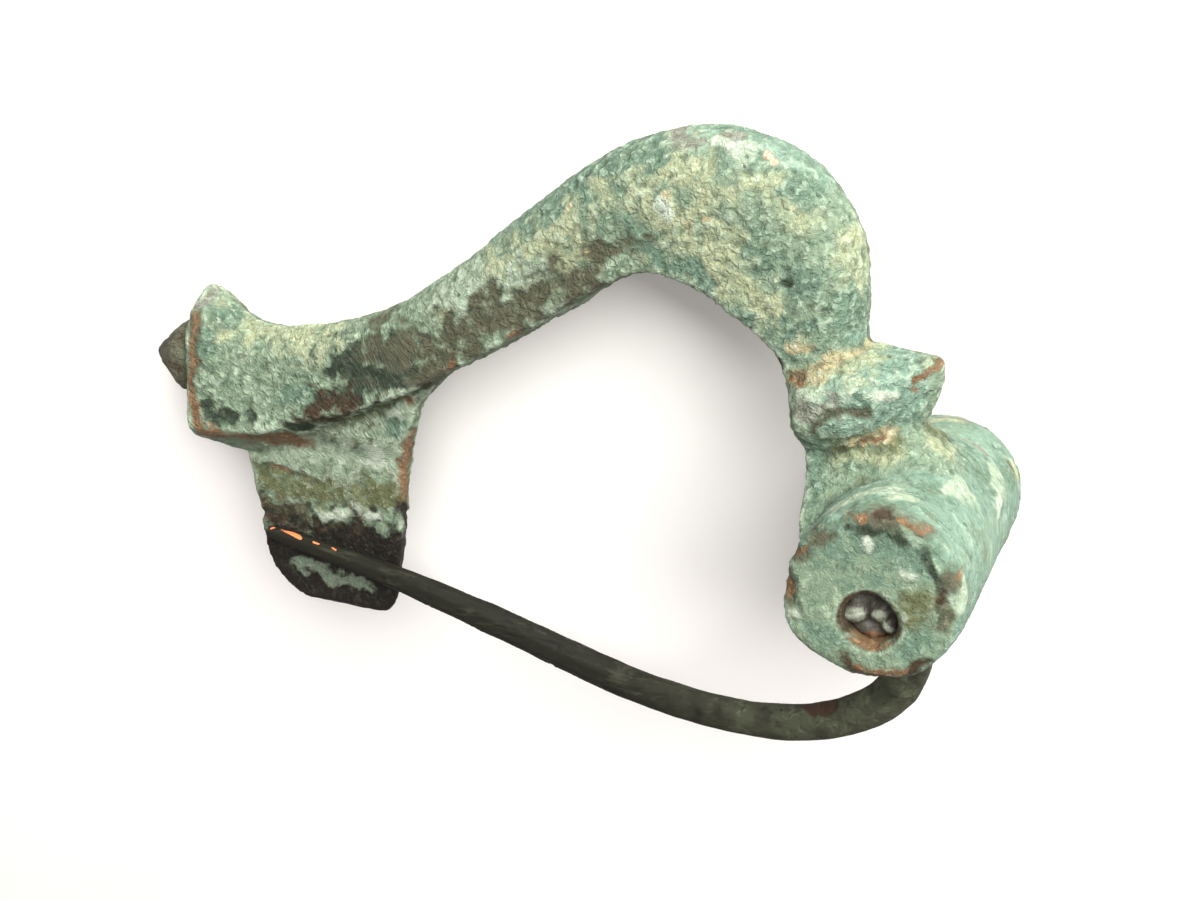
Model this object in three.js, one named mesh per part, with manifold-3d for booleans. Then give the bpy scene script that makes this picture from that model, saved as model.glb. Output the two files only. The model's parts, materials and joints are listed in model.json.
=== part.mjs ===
// A Roman bow brooch (fibula) of cast copper alloy: bow, foot, catchplate and tubular head are one casting,
// and a bent pin turns on an axle in the head.
//
// The brooch is drawn in its own frame, in millimetres: the head's axis is Y through the origin, the foot
// points to -X, and Z runs from the catchplate up to the arch. At the end the whole group is turned over
// onto the three points that it lies on.

import * as THREE from "three";
import { mergeVertices } from "three/addons/utils/BufferGeometryUtils.js";
import Module from "manifold-3d";

// ---- driving dimensions, in millimetres and degrees ----

const HEAD_RADIUS = 3.6;
const HEAD_LENGTH = 14.4;
const HEAD_RIM_ROUND = 0.4;
// The head's outline is uneven: its radius at each end, at even angles from +X towards +Z.
const HEAD_NEAR_RIM = [3.6, 3.6, 3.65, 3.7, 3.65, 3.6, 3.75, 4.05, 3.75, 3.7, 3.75, 3.65];
const HEAD_MIDDLE = [3.65, 3.6, 3.6, 3.6, 3.6, 3.6, 3.6, 3.6, 3.6, 3.6, 3.65, 3.75];
const HEAD_FAR_RIM = [3.65, 3.7, 3.7, 3.6, 3.6, 3.6, 3.7, 3.65, 3.6, 3.6, 3.65, 3.7];

const AXLE_X = -0.05;
const AXLE_Z = -1.05;
const AXLE_RADIUS = 1.02;
const AXLE_RECESS = 1.2;
const AXLE_CHAMFER = 0.15;
const BORE_RADIUS = 1.12;

const SLOT_WIDTH = 2.5;
const EYE_RADIUS = 1.95;
const EYE_WIDTH = 1.9;
const EYE_BORE_RADIUS = 1.1; // it turns on the axle
const SLOT_POCKET_RADIUS = 2.2;
const SLOT_INNER_X = -2.2;
const SLOT_STOP_ANGLE = -9; // from the axle to the slot's outer edge, which stops the open pin

const KNOB_RADIUS = 1.95;
const KNOB_STEM = 1.3;
const KNOB_TIP_RADIUS = 0.4;
const KNOB_STEM_RADIUS = 1.85;
const KNOB_ROOT = 0.6; // how far it reaches into the foot
const KNOB_BASE_X = -37.2;
const KNOB_TIP_X = -41.0;
const KNOB_Z = 3.95;

const CATCH_ROOT_THICKNESS = 0.95; // where it leaves the foot
const CATCH_EDGE_THICKNESS = 0.5; // at its free edge

const FOOT_TO = -30; // where the foot ends along X
const BOW_FROM = 8; // the bow's height above the head's axis
const LEVELLING_PASSES = 8; // they settle which three points it lies on

const AROUND = 26; // points round each section of the bow
const ARRIS = 0.12; // the worn flat along the underside's edges
const HEAD_AROUND = 48;
const ROUND_SIDES = 32;
const BORE_SIDES = 24;
const KNOB_SIDES = 20;
const STEPS_PER_STATION = 3;

// The bow from the foot's lip to the head. under is the flat underside's line, crest the back's line. Each
// section has a half width at its base and at its shoulder. rise is the shoulder's share of the depth, and
// crown the crown's exponent: 1 is a gable, 2 is round and 4 is boxy. keel is how far a ridge stands out
// below the underside, lean how much higher the underside is on its -Y side, and worn the flat on its
// edges. What a section leaves out is as on the bow's slope.
const SLOPE_SECTION = { rise: 0.55, crown: 2, keel: 0, lean: 0, worn: ARRIS };
const LIP = { rise: 0.68, crown: 1.6, worn: 0.5 }; // the foot's flared end
const FOOT_RIDGE = { rise: 0.72, crown: 1.5 }; // the foot behind it
const BOW_STATIONS = [
  { under: [-37.6, 0.8], crest: [-37.3, 7.5], base: 2.05, shoulder: 1.75, ...LIP, crown: 1.8, keel: 0.3 },
  { under: [-37.4, 0.3], crest: [-37.1, 7.9], base: 2.45, shoulder: 2.15, ...LIP, crown: 1.7, keel: 0.5 },
  { under: [-36.7, 0.3], crest: [-36.5, 7.65], base: 2.5, shoulder: 2.1, ...LIP, worn: 0.35, keel: 0.9 },
  { under: [-35.4, 0.5], crest: [-35.2, 6.75], base: 2.3, shoulder: 1.8, ...FOOT_RIDGE, keel: 1.3 },
  { under: [-33.3, 0.9], crest: [-33.3, 6.15], base: 2.1, shoulder: 1.6, ...FOOT_RIDGE, keel: 1.2 },
  { under: [-30.3, 1.8], crest: [-30.7, 6.4], base: 1.9, shoulder: 1.6, rise: 0.66, crown: 1.6, keel: 0.7 },
  { under: [-27.3, 2.8], crest: [-28.0, 7.1], base: 1.8, shoulder: 1.7, rise: 0.6, crown: 1.8, keel: 0.3 },
  { under: [-24.2, 4.15], crest: [-25.3, 8.2], base: 1.8, shoulder: 1.8, lean: 0.08 },
  { under: [-20.4, 6.27], crest: [-22.0, 10.4], base: 1.85, shoulder: 1.9, lean: 0.14 },
  { under: [-17.0, 8.4], crest: [-18.9, 12.8], base: 1.95, shoulder: 2.05, lean: 0.15 },
  { under: [-14.2, 10.2], crest: [-15.7, 15.2], base: 2.05, shoulder: 2.2, lean: 0.1 },
  { under: [-12.0, 11.1], crest: [-12.2, 16.95], base: 2.15, shoulder: 2.35 },
  { under: [-9.7, 10.6], crest: [-8.1, 17.3], base: 2.2, shoulder: 2.4 },
  { under: [-7.8, 9.5], crest: [-4.9, 15.9], base: 2.2, shoulder: 2.35 },
  { under: [-6.4, 8.45], crest: [-3.0, 13.4], base: 2.1, shoulder: 2.2 },
  { under: [-5.65, 7.4], crest: [-2.6, 10.9], base: 2.05, shoulder: 2.05 },
  { under: [-5.3, 6.2], crest: [-2.45, 8.4], base: 2.0, shoulder: 2.0 },
  { under: [-4.8, 4.7], crest: [-1.0, 6.4], base: 2.0, shoulder: 2.0, rise: 0.6, crown: 2.2 },
  { under: [-4.35, 3.5], crest: [0.3, 5.1], base: 2.3, shoulder: 2.1, rise: 0.6, crown: 2.4 },
  { under: [-4.2, 2.4], crest: [1.4, 4.1], base: 3.0, shoulder: 2.9, rise: 0.6, crown: 2.6 },
  { under: [-4.05, 1.2], crest: [2.3, 3.0], base: 4.1, shoulder: 3.9, rise: 0.6, crown: 3 },
  { under: [-3.6, 0.0], crest: [2.8, 1.7], base: 5.2, shoulder: 4.8, rise: 0.6, crown: 3 },
  { under: [-2.9, -1.0], crest: [2.9, 0.6], base: 5.4, shoulder: 5.0, rise: 0.6, crown: 3 },
];

// The collar above the head, as rings across the bow: under and crest again, and a half width.
const COLLAR_STATIONS = [
  { under: [-5.3, 7.1], crest: [-2.6, 8.6], half: 2.0 },
  { under: [-5.35, 6.6], crest: [0.75, 8.2], half: 2.9 },
  { under: [-5.35, 6.35], crest: [1.0, 7.95], half: 3.05 },
  { under: [-5.3, 5.15], crest: [0.95, 7.2], half: 3.05 },
  { under: [-5.1, 4.7], crest: [0.55, 5.8], half: 2.85 },
  { under: [-4.5, 3.7], crest: [0.1, 5.0], half: 2.1 },
];
// The collar's plan: shares of the way from the bow's underside outwards, and of the half width. It is
// blunt on the inside and comes to a keel on the outside.
const COLLAR_PLAN = [
  [0, 0.45],
  [0.03, 0.8],
  [0.1, 0.96],
  [0.22, 1],
  [0.42, 0.98],
  [0.6, 0.82],
  [0.78, 0.55],
  [0.92, 0.27],
  [0.99, 0.09],
];

// The catchplate's outline in X and Z, from where it leaves the foot near the lip, round its free edge.
const CATCH_OUTLINE = {
  footEnd: [-35.5, 2.2],
  outerEdge: [
    [-35.25, -0.9],
    [-34.9, -4.0],
    [-34.55, -6.5],
  ],
  outerCorner: [-33.9, -8.75],
  bottomStart: [-31.9, -8.95],
  bottomEnd: [-27.6, -8.95],
  innerCorner: [-26.65, -8.8],
  innerEdge: [
    [-26.45, -7.0],
    [-25.95, -3.4],
    [-25.5, 0.4],
    [-24.85, 2.9],
  ],
  headEnd: [-23.0, 5.0],
  root: [-28.5, 4.4],
};

// The pin's centre line, its height in the brooch's plane and its width along Y.
const PIN_STATIONS = [
  { at: [-0.1, 0, -1.4], height: 1.6, width: 1.9 },
  { at: [0.05, 0, -3.2], height: 1.6, width: 1.85 },
  { at: [0.5, 0, -5.3], height: 1.85, width: 1.6 },
  { at: [-0.1, 0, -7.6], height: 1.95, width: 1.45 },
  { at: [-1.55, 0, -9.05], height: 1.85, width: 1.35 },
  { at: [-3.3, -0.05, -9.95], height: 1.8, width: 1.3 },
  { at: [-5.1, -0.1, -10.45], height: 1.75, width: 1.3 },
  { at: [-7.0, -0.15, -10.65], height: 1.7, width: 1.3 },
  { at: [-9.4, -0.2, -10.6], height: 1.65, width: 1.3 },
  { at: [-12.0, -0.35, -10.2], height: 1.65, width: 1.3 },
  { at: [-14.5, -0.5, -9.6], height: 1.65, width: 1.25 },
  { at: [-17.1, -0.65, -8.8], height: 1.6, width: 1.2 },
  { at: [-19.9, -0.78, -7.95], height: 1.5, width: 1.15 },
  { at: [-22.7, -0.9, -7.15], height: 1.4, width: 1.1 },
  { at: [-25.2, -1.0, -6.5], height: 1.3, width: 1.0 },
  { at: [-28.0, -1.0, -5.95], height: 1.1, width: 0.85 },
  { at: [-31.0, -0.93, -5.5], height: 0.9, width: 0.7 },
  { at: [-34.0, -0.85, -5.05], height: 0.6, width: 0.5 },
];
const PIN_CHAMFER = 0.28; // as a share of the section's height and width

// ---- solids ----

const wasm = await Module();
wasm.setup();

// A closed three.js geometry as a manifold-3d solid.
function solid(geometry) {
  const bare = new THREE.BufferGeometry();
  bare.setAttribute("position", geometry.getAttribute("position"));
  bare.setIndex(geometry.getIndex());
  const merged = mergeVertices(bare, 1e-4);
  const mesh = new wasm.Mesh({
    numProp: 3,
    vertProperties: merged.attributes.position.array,
    triVerts: new Uint32Array(merged.index.array),
  });
  return new wasm.Manifold(mesh);
}

// A manifold-3d solid as a flat-shaded three.js geometry.
function geometryOf(made) {
  const mesh = made.getMesh();
  const positions = new Float32Array(mesh.numVert * 3);
  for (let i = 0; i < mesh.numVert; i++) {
    const start = i * mesh.numProp;
    positions.set(mesh.vertProperties.subarray(start, start + 3), i * 3);
  }
  const geometry = new THREE.BufferGeometry();
  geometry.setAttribute("position", new THREE.BufferAttribute(positions, 3));
  geometry.setIndex(new THREE.BufferAttribute(new Uint32Array(mesh.triVerts), 1));
  const flat = geometry.toNonIndexed();
  flat.computeVertexNormals();
  return flat;
}

// A closed skin over rings of points, all with the same number of points, with a flat cap on each end.
function loft(rings) {
  const count = rings[0].length;
  const positions = rings.flat().flatMap((p) => [p.x, p.y, p.z]);
  const index = [];
  for (let r = 0; r < rings.length - 1; r++) {
    for (let i = 0; i < count; i++) {
      const next = (i + 1) % count;
      const a = r * count + i;
      const b = r * count + next;
      const c = a + count;
      const d = b + count;
      index.push(a, b, d, a, d, c);
    }
  }
  for (const [r, turned] of [
    [0, true],
    [rings.length - 1, false],
  ]) {
    const centre = new THREE.Vector3();
    rings[r].forEach((p) => centre.addScaledVector(p, 1 / count));
    const middle = positions.length / 3;
    positions.push(centre.x, centre.y, centre.z);
    for (let i = 0; i < count; i++) {
      const a = r * count + i;
      const b = r * count + ((i + 1) % count);
      index.push(...(turned ? [middle, b, a] : [middle, a, b]));
    }
  }
  const geometry = new THREE.BufferGeometry();
  geometry.setAttribute("position", new THREE.Float32BufferAttribute(positions, 3));
  geometry.setIndex(index);
  return geometry;
}

// Values between stations: a smooth curve through each station's numbers, at an even number of steps.
function between(stations, read, steps = STEPS_PER_STATION) {
  const values = stations.map(read);
  const last = stations.length - 1;
  return Array.from({ length: last * steps + 1 }, (_, k) => {
    const t = k / steps;
    const i = Math.min(Math.floor(t), last - 1);
    const pick = (n) => values[Math.max(0, Math.min(last, n))];
    const [p0, p1, p2, p3] = [pick(i - 1), pick(i), pick(i + 1), pick(i + 2)];
    return p1.map((_, c) => catmullRom(p0[c], p1[c], p2[c], p3[c], t - i));
  });
}

function catmullRom(p0, p1, p2, p3, t) {
  const m1 = (p2 - p0) / 2;
  const m2 = (p3 - p1) / 2;
  const t2 = t * t;
  const t3 = t2 * t;
  return (2 * t3 - 3 * t2 + 1) * p1 + (t3 - 2 * t2 + t) * m1 + (3 * t2 - 2 * t3) * p2 + (t3 - t2) * m2;
}

// A point of a section: up is its share of the way from the underside to the crest, and side is along Y.
function sectionPoint(under, crest, up, side) {
  const x = under[0] + (crest[0] - under[0]) * up;
  const z = under[1] + (crest[1] - under[1]) * up;
  return new THREE.Vector3(x, side, z);
}

// One section of the bow: a flat or keeled base, leaning sides, and a crown that is a superellipse.
function bowSection([ux, uz, cx, cz, base, shoulder, rise, crown, keel, lean, worn]) {
  const depth = Math.hypot(cx - ux, cz - uz);
  const crownPoints = AROUND / 2 - 3;
  const half = [
    [-keel / depth, base * 0.2],
    [0, base - worn],
    [worn / depth, base],
    [rise * 0.5, (base + shoulder) / 2],
  ];
  for (let k = 0; k < crownPoints - 1; k++) {
    const angle = (k / (crownPoints - 1)) * (Math.PI / 2);
    const side = shoulder * Math.cos(angle) ** (2 / crown);
    const up = rise + (1 - rise) * Math.sin(angle) ** (2 / crown);
    half.push([up, side]);
  }
  const mirrored = half.map(([up, side]) => [up, -side]).reverse();
  return [...half, [1, 0], ...mirrored].map(([up, side]) => {
    const leaning = ((-side / base) * lean * (1 - up)) / (2 * depth);
    return sectionPoint([ux, uz], [cx, cz], up + leaning, side);
  });
}

function bowBody() {
  const read = (station) => {
    const { under, crest, base, shoulder, rise, crown, keel, lean, worn } = { ...SLOPE_SECTION, ...station };
    return [...under, ...crest, base, shoulder, rise, crown, keel, lean, worn];
  };
  return solid(loft(between(BOW_STATIONS, read).map(bowSection)));
}

// The collar's sections follow its plan on both sides.
function collar() {
  const plan = [...COLLAR_PLAN, ...COLLAR_PLAN.map(([out, side]) => [out, -side]).reverse()];
  const read = (s) => [...s.under, ...s.crest, s.half];
  const rings = between(COLLAR_STATIONS, read, 1).map(([ux, uz, cx, cz, half]) =>
    plan.map(([out, side]) => sectionPoint([ux, uz], [cx, cz], out, half * side)),
  );
  return solid(loft(rings));
}

// A solid turned about the Y axis from a profile of [radius, y] points.
function turned(profile, segments = ROUND_SIDES) {
  return solid(new THREE.LatheGeometry(profile.map(([r, y]) => new THREE.Vector2(r, y)), segments));
}

// A plain round bar along Y.
function bar(radius, from, to, segments = ROUND_SIDES) {
  return turned([[0, from], [radius, from], [radius, to], [0, to]], segments);
}

// The tubular head, with its uneven, worn rims.
function head() {
  const end = HEAD_LENGTH / 2;
  const rim = HEAD_RIM_ROUND;
  const ring = (y, radii, inset) =>
    Array.from({ length: HEAD_AROUND }, (_, i) => {
      const t = (i / HEAD_AROUND) * radii.length;
      const pick = (n) => radii[(Math.floor(t) + n + radii.length) % radii.length];
      const radius = catmullRom(pick(-1), pick(0), pick(1), pick(2), t % 1) - inset;
      const angle = (i / HEAD_AROUND) * Math.PI * 2;
      return new THREE.Vector3(radius * Math.cos(angle), y, radius * Math.sin(angle));
    });
  const nearEnd = [ring(-end, HEAD_NEAR_RIM, rim), ring(-end + rim * 0.3, HEAD_NEAR_RIM, rim * 0.3)];
  const farEnd = [ring(end - rim * 0.3, HEAD_FAR_RIM, rim * 0.3), ring(end, HEAD_FAR_RIM, rim)];
  const barrel = [
    ring(-end + rim, HEAD_NEAR_RIM, 0),
    ring(-end * 0.55, HEAD_MIDDLE, 0),
    ring(end * 0.55, HEAD_MIDDLE, 0),
    ring(end - rim, HEAD_FAR_RIM, 0),
  ];
  return solid(loft([...nearEnd, ...barrel, ...farEnd].reverse()));
}

// A plate of the given thickness, centred on Y, from an outline in X and Z.
function plate(shape, thickness, curveSegments = 6) {
  const options = { depth: thickness, bevelEnabled: false, curveSegments };
  const geometry = new THREE.ExtrudeGeometry(shape, options);
  geometry.rotateX(Math.PI / 2);
  geometry.translate(0, thickness / 2, 0);
  return geometry;
}

// The slot for the pin's eye: a round pocket about the axle, with a mouth below and towards the outside.
function slot() {
  const pocket = bar(SLOT_POCKET_RADIUS, -SLOT_WIDTH / 2, SLOT_WIDTH / 2).translate([AXLE_X, 0, AXLE_Z]);
  const stop = THREE.MathUtils.degToRad(SLOT_STOP_ANGLE);
  const reach = 2 * HEAD_RADIUS;
  const mouth = new THREE.Shape();
  mouth.moveTo(AXLE_X, AXLE_Z);
  mouth.lineTo(SLOT_INNER_X, AXLE_Z);
  mouth.lineTo(SLOT_INNER_X, -reach);
  mouth.lineTo(AXLE_X + reach, -reach);
  mouth.lineTo(AXLE_X + reach, AXLE_Z + reach * Math.tan(stop));
  mouth.closePath();
  return pocket.add(solid(plate(mouth, SLOT_WIDTH)));
}

// The blunt cone on the foot's end, on a short stem.
function knob() {
  const length = KNOB_BASE_X - KNOB_TIP_X;
  const cone = length - KNOB_STEM;
  const profile = [
    [0, -KNOB_ROOT],
    [KNOB_STEM_RADIUS, -KNOB_ROOT],
    [KNOB_STEM_RADIUS, 0.2],
    [KNOB_RADIUS, KNOB_STEM],
    [KNOB_TIP_RADIUS, KNOB_STEM + cone * 0.86],
    [KNOB_TIP_RADIUS * 0.5, KNOB_STEM + cone * 0.97],
    [0, length],
  ];
  return turned(profile, KNOB_SIDES).rotate([0, 0, 90]).translate([KNOB_BASE_X, 0, KNOB_Z]);
}

// The thin plate under the foot, on which the pin lies.
function catchplate() {
  const o = CATCH_OUTLINE;
  const shape = new THREE.Shape();
  const points = (list) => list.map(([x, z]) => new THREE.Vector2(x, z));
  shape.moveTo(...o.footEnd);
  shape.splineThru(points(o.outerEdge));
  shape.quadraticCurveTo(...o.outerCorner, ...o.bottomStart);
  shape.lineTo(...o.bottomEnd);
  shape.quadraticCurveTo(...o.innerCorner, ...o.innerEdge[0]);
  shape.splineThru(points(o.innerEdge.slice(1)));
  shape.lineTo(...o.headEnd);
  shape.lineTo(...o.root);
  shape.closePath();
  const flat = plate(shape, 1);
  const place = flat.getAttribute("position");
  const low = o.bottomStart[1];
  const slope = (CATCH_ROOT_THICKNESS - CATCH_EDGE_THICKNESS) / (o.footEnd[1] - low);
  for (let i = 0; i < place.count; i++) {
    place.setY(i, place.getY(i) * (CATCH_EDGE_THICKNESS + slope * (place.getZ(i) - low)));
  }
  return solid(flat);
}

function casting() {
  const end = HEAD_LENGTH / 2 + 1;
  const bore = bar(BORE_RADIUS, -end, end, BORE_SIDES).translate([AXLE_X, 0, AXLE_Z]);
  return bowBody().add(collar()).add(head()).add(knob()).add(catchplate()).subtract(slot()).subtract(bore);
}

function axle() {
  const end = HEAD_LENGTH / 2 - AXLE_RECESS;
  const profile = [
    [0, -end],
    [AXLE_RADIUS - AXLE_CHAMFER, -end],
    [AXLE_RADIUS, -end + AXLE_CHAMFER],
    [AXLE_RADIUS, end - AXLE_CHAMFER],
    [AXLE_RADIUS - AXLE_CHAMFER, end],
    [0, end],
  ];
  return turned(profile, BORE_SIDES).translate([AXLE_X, 0, AXLE_Z]);
}

// The pin: a chamfered oblong bar bent along its centre line, with an eye round the axle.
function pin() {
  const places = between(PIN_STATIONS, (s) => [...s.at, s.height, s.width], 2);
  const points = places.map(([x, y, z]) => new THREE.Vector3(x, y, z));
  const rings = places.map(([, , , height, width], i) => {
    const before = points[Math.max(0, i - 1)];
    const after = points[Math.min(points.length - 1, i + 1)];
    const along = after.clone().sub(before).normalize();
    const side = new THREE.Vector3(0, 1, 0).addScaledVector(along, -along.y).normalize();
    const up = new THREE.Vector3().crossVectors(side, along).normalize();
    const corner = 1 - 2 * PIN_CHAMFER;
    return [
      [1, corner],
      [corner, 1],
      [-corner, 1],
      [-1, corner],
      [-1, -corner],
      [-corner, -1],
      [corner, -1],
      [1, -corner],
    ].map(([u, s]) => {
      const p = points[i].clone();
      return p.addScaledVector(up, (u * height) / 2).addScaledVector(side, (s * width) / 2);
    });
  });
  const eye = bar(EYE_RADIUS, -EYE_WIDTH / 2, EYE_WIDTH / 2).translate([AXLE_X, 0, AXLE_Z]);
  const hole = bar(EYE_BORE_RADIUS, -EYE_WIDTH, EYE_WIDTH, BORE_SIDES).translate([AXLE_X, 0, AXLE_Z]);
  return solid(loft(rings)).add(eye).subtract(hole);
}

// ---- the brooch ----

const FINISHES = {
  patina: new THREE.MeshStandardMaterial({ color: 0x86a594, roughness: 0.85, metalness: 0.1 }),
  darkBronze: new THREE.MeshStandardMaterial({ color: 0x45483f, roughness: 0.6, metalness: 0.35 }),
  axleBronze: new THREE.MeshStandardMaterial({ color: 0x5a5248, roughness: 0.7, metalness: 0.3 }),
};

function piece(name, made, finish) {
  const mesh = new THREE.Mesh(geometryOf(made), finish);
  mesh.name = name;
  return mesh;
}

const brooch = new THREE.Group();
brooch.add(piece("brooch_casting", casting(), FINISHES.patina));
brooch.add(piece("hinge_axle", axle(), FINISHES.axleBronze));
brooch.add(piece("pin", pin(), FINISHES.darkBronze));

// It lies on its +Y side: the foot, the bow and the head each touch the ground at one point. Each pass
// takes the lowest point of each of the three and turns the plane through them level.
function layDown(group) {
  const onFoot = (p) => p.x < FOOT_TO;
  const onBow = (p) => p.x > FOOT_TO && p.z > BOW_FROM;
  const onHead = (p) => p.x > FOOT_TO && p.z < BOW_FROM;
  const place = group.children[0].geometry.getAttribute("position");
  const pointAt = (_, i) => new THREE.Vector3().fromBufferAttribute(place, i);
  const points = Array.from({ length: place.count }, pointAt);
  const down = new THREE.Vector3(0, 1, 0);
  for (let pass = 0; pass < LEVELLING_PASSES; pass++) {
    const deeper = (a, b) => (b.dot(down) > a.dot(down) ? b : a);
    const [foot, bow, tube] = [onFoot, onBow, onHead].map((on) => points.filter(on).reduce(deeper));
    down.crossVectors(bow.clone().sub(foot), tube.clone().sub(foot)).normalize();
  }
  const up = down.clone().negate();
  const right = new THREE.Vector3(1, 0, 0).addScaledVector(up, -up.x).normalize();
  const ahead = new THREE.Vector3().crossVectors(up, right);
  group.quaternion.setFromRotationMatrix(new THREE.Matrix4().makeBasis(right, ahead, up).transpose());
  group.updateMatrixWorld(true);
  const box = new THREE.Box3().setFromObject(group, true);
  const centre = box.getCenter(new THREE.Vector3());
  group.position.set(-centre.x, -centre.y, -box.min.z);
}
layDown(brooch);

export default brooch;
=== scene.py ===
# %% [markdown]
# # A Roman bow brooch, green from the ground
#
# A bow brooch is the safety pin of a cloak. Its bow, foot, catchplate and tubular head are one bronze
# casting, and a bent pin turns on an axle in the head. This one lay in the ground for about 1,900 years,
# so its bronze has grown a thick green crust with cream lime in it. Where the crust has come off, the
# brown skin of the metal shows, and the pin is a smooth dark olive. The solids of the three pieces are
# loaded first, in metres. Everything after this cell is worked out from them.

import json
import math
from itertools import product

import bmesh
import bpy
import numpy as np
from mathutils import Matrix, Vector, kdtree


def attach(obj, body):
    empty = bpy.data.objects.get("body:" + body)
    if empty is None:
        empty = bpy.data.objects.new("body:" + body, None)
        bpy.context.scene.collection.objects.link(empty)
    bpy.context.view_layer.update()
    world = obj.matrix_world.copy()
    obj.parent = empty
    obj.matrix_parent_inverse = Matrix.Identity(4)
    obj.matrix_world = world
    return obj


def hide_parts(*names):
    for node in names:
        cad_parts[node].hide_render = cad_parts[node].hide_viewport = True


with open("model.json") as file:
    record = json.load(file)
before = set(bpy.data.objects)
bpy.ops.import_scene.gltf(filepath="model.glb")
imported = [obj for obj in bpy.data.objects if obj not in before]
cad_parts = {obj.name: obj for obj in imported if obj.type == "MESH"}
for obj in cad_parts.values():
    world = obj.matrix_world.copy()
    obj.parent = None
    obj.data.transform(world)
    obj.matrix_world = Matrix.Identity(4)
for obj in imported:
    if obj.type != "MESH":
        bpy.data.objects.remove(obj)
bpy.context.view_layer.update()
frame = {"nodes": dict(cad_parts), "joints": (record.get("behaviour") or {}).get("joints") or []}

# %% [markdown]
# ## The brooch's own directions
#
# The brooch lies on its side, so the row's X, Y and Z say little about it. A maker thinks in the
# brooch's own directions: along the foot, along the head's barrel, and up over the bow. One could type
# those in as angles. It is safer to take them from the hinge: its axis is the barrel's direction, and
# the line from foot to head is square to that and to the row's Y. From here on a place on the brooch is
# three millimetre values, counted from the middle of the head.

# %% Work out the brooch's directions from the hinge
MM = 0.001
AXLE_OFF_CENTRE = (-0.05, 0.0, -1.05)

hinge = frame["joints"][0]
far_along_head = -Vector(hinge["axis"]).normalized()
towards_head = far_along_head.cross(Vector((0, 1, 0))).normalized()
over_bow = towards_head.cross(far_along_head)
AXES = np.array([towards_head, far_along_head, over_bow])
HEAD_MIDDLE = np.array(hinge["pos_m"]) - np.array(AXLE_OFF_CENTRE) @ AXES * MM


def on_brooch(metres):
    """Points of the row, in metres, as millimetres in the brooch's own directions."""
    return (metres - HEAD_MIDDLE) @ AXES.T / MM


def in_row(millimetres):
    """The way back, from millimetres on the brooch to metres in the row."""
    return millimetres @ AXES * MM + HEAD_MIDDLE


print("head's middle in the row, mm:", (HEAD_MIDDLE / MM).round(2))

# %% [markdown]
# ## The camera
#
# The brooch is looked at from its near side, a little from the right and from above the bow, from
# about seven centimetres away, so the head comes out larger than the foot. A camera can be aimed with a
# Track To constraint, but its roll matters here, because the brooch lies down while it is seen
# upright. So its three directions are worked out from a turn and a tilt on the brooch.

# %% Set up the camera
CAMERA_AT = np.array((12.07, -61.68, 25.24))
CAMERA_TURN = 0.414
CAMERA_TILT = 0.3335
LENS = 45
SENSOR_WIDTH = 36

sideways = np.array((math.cos(CAMERA_TURN), math.sin(CAMERA_TURN), 0))
back = np.array((
    math.sin(CAMERA_TURN) * math.cos(CAMERA_TILT),
    -math.cos(CAMERA_TURN) * math.cos(CAMERA_TILT),
    math.sin(CAMERA_TILT),
))
directions = np.array([sideways, np.cross(back, sideways), back]) @ AXES
camera = bpy.data.objects.new("camera", bpy.data.cameras.new("camera"))
camera.data.lens = LENS
camera.data.sensor_width = SENSOR_WIDTH
camera.data.clip_start = MM
camera.matrix_world = Matrix.Translation(in_row(CAMERA_AT)) @ Matrix(directions.T.tolist()).to_4x4()
bpy.context.scene.collection.objects.link(camera)
bpy.context.scene.camera = camera
print("camera in the row, mm:", (np.array(camera.matrix_world.translation) / MM).round(1))

# %% [markdown]
# ## The table and the light
#
# The brooch lies on plain white paper. A sun lamp would draw hard shadows, and an even sky alone would
# leave the crust flat. So most of the light comes from a wide lamp that stands low beyond the bow. It
# rakes over the crust, catches the tops of the bow and head, and lets soft shadows fall towards the
# camera. The world's pale background fills the shadows, and a weak wide lamp overhead helps it.

# %% Lay the paper and hang the lamps
PAPER_HALF = 0.9
PAPER_SQUARES = 8
SKY = (1.0, 0.94, 0.915, 1)
SKY_STRENGTH = 0.36
LAMPS = (
    # name, direction, distance and width in metres, watts, colour
    ("lamp_beyond_bow", (0.5, 0.8, 0.5), 0.28, 0.24, 2.4, (1.0, 0.99, 0.97)),
    ("lamp_overhead", (0.1, -0.3, 1.0), 0.6, 0.5, 0.5, (1.0, 0.98, 0.96)),
)

for name, direction, distance, width, watts, colour in LAMPS:
    made = bpy.data.objects.new(name, bpy.data.lights.new(name, "AREA"))
    made.data.size = width
    made.data.energy = watts
    made.data.color = colour
    aim = Vector(direction).normalized()
    made.location = aim * distance
    made.rotation_mode = "QUATERNION"
    made.rotation_quaternion = aim.to_track_quat("Z", "Y")
    bpy.context.scene.collection.objects.link(made)

sky = bpy.data.worlds.new("sky")
sky.use_nodes = True
sky.node_tree.nodes["Background"].inputs["Color"].default_value = SKY
sky.node_tree.nodes["Background"].inputs["Strength"].default_value = SKY_STRENGTH
bpy.context.scene.world = sky
bpy.context.scene.view_settings.view_transform = "Standard"

sheet = bmesh.new()
bmesh.ops.create_grid(sheet, x_segments=PAPER_SQUARES, y_segments=PAPER_SQUARES, size=PAPER_HALF)
paper_mesh = bpy.data.meshes.new("paper")
sheet.to_mesh(paper_mesh)
sheet.free()
paper = bpy.data.objects.new("paper", paper_mesh)
bpy.context.scene.collection.objects.link(paper)
print("lamps:", [light.name for light in bpy.data.lights], "paper, m:", 2 * PAPER_HALF)

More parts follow.
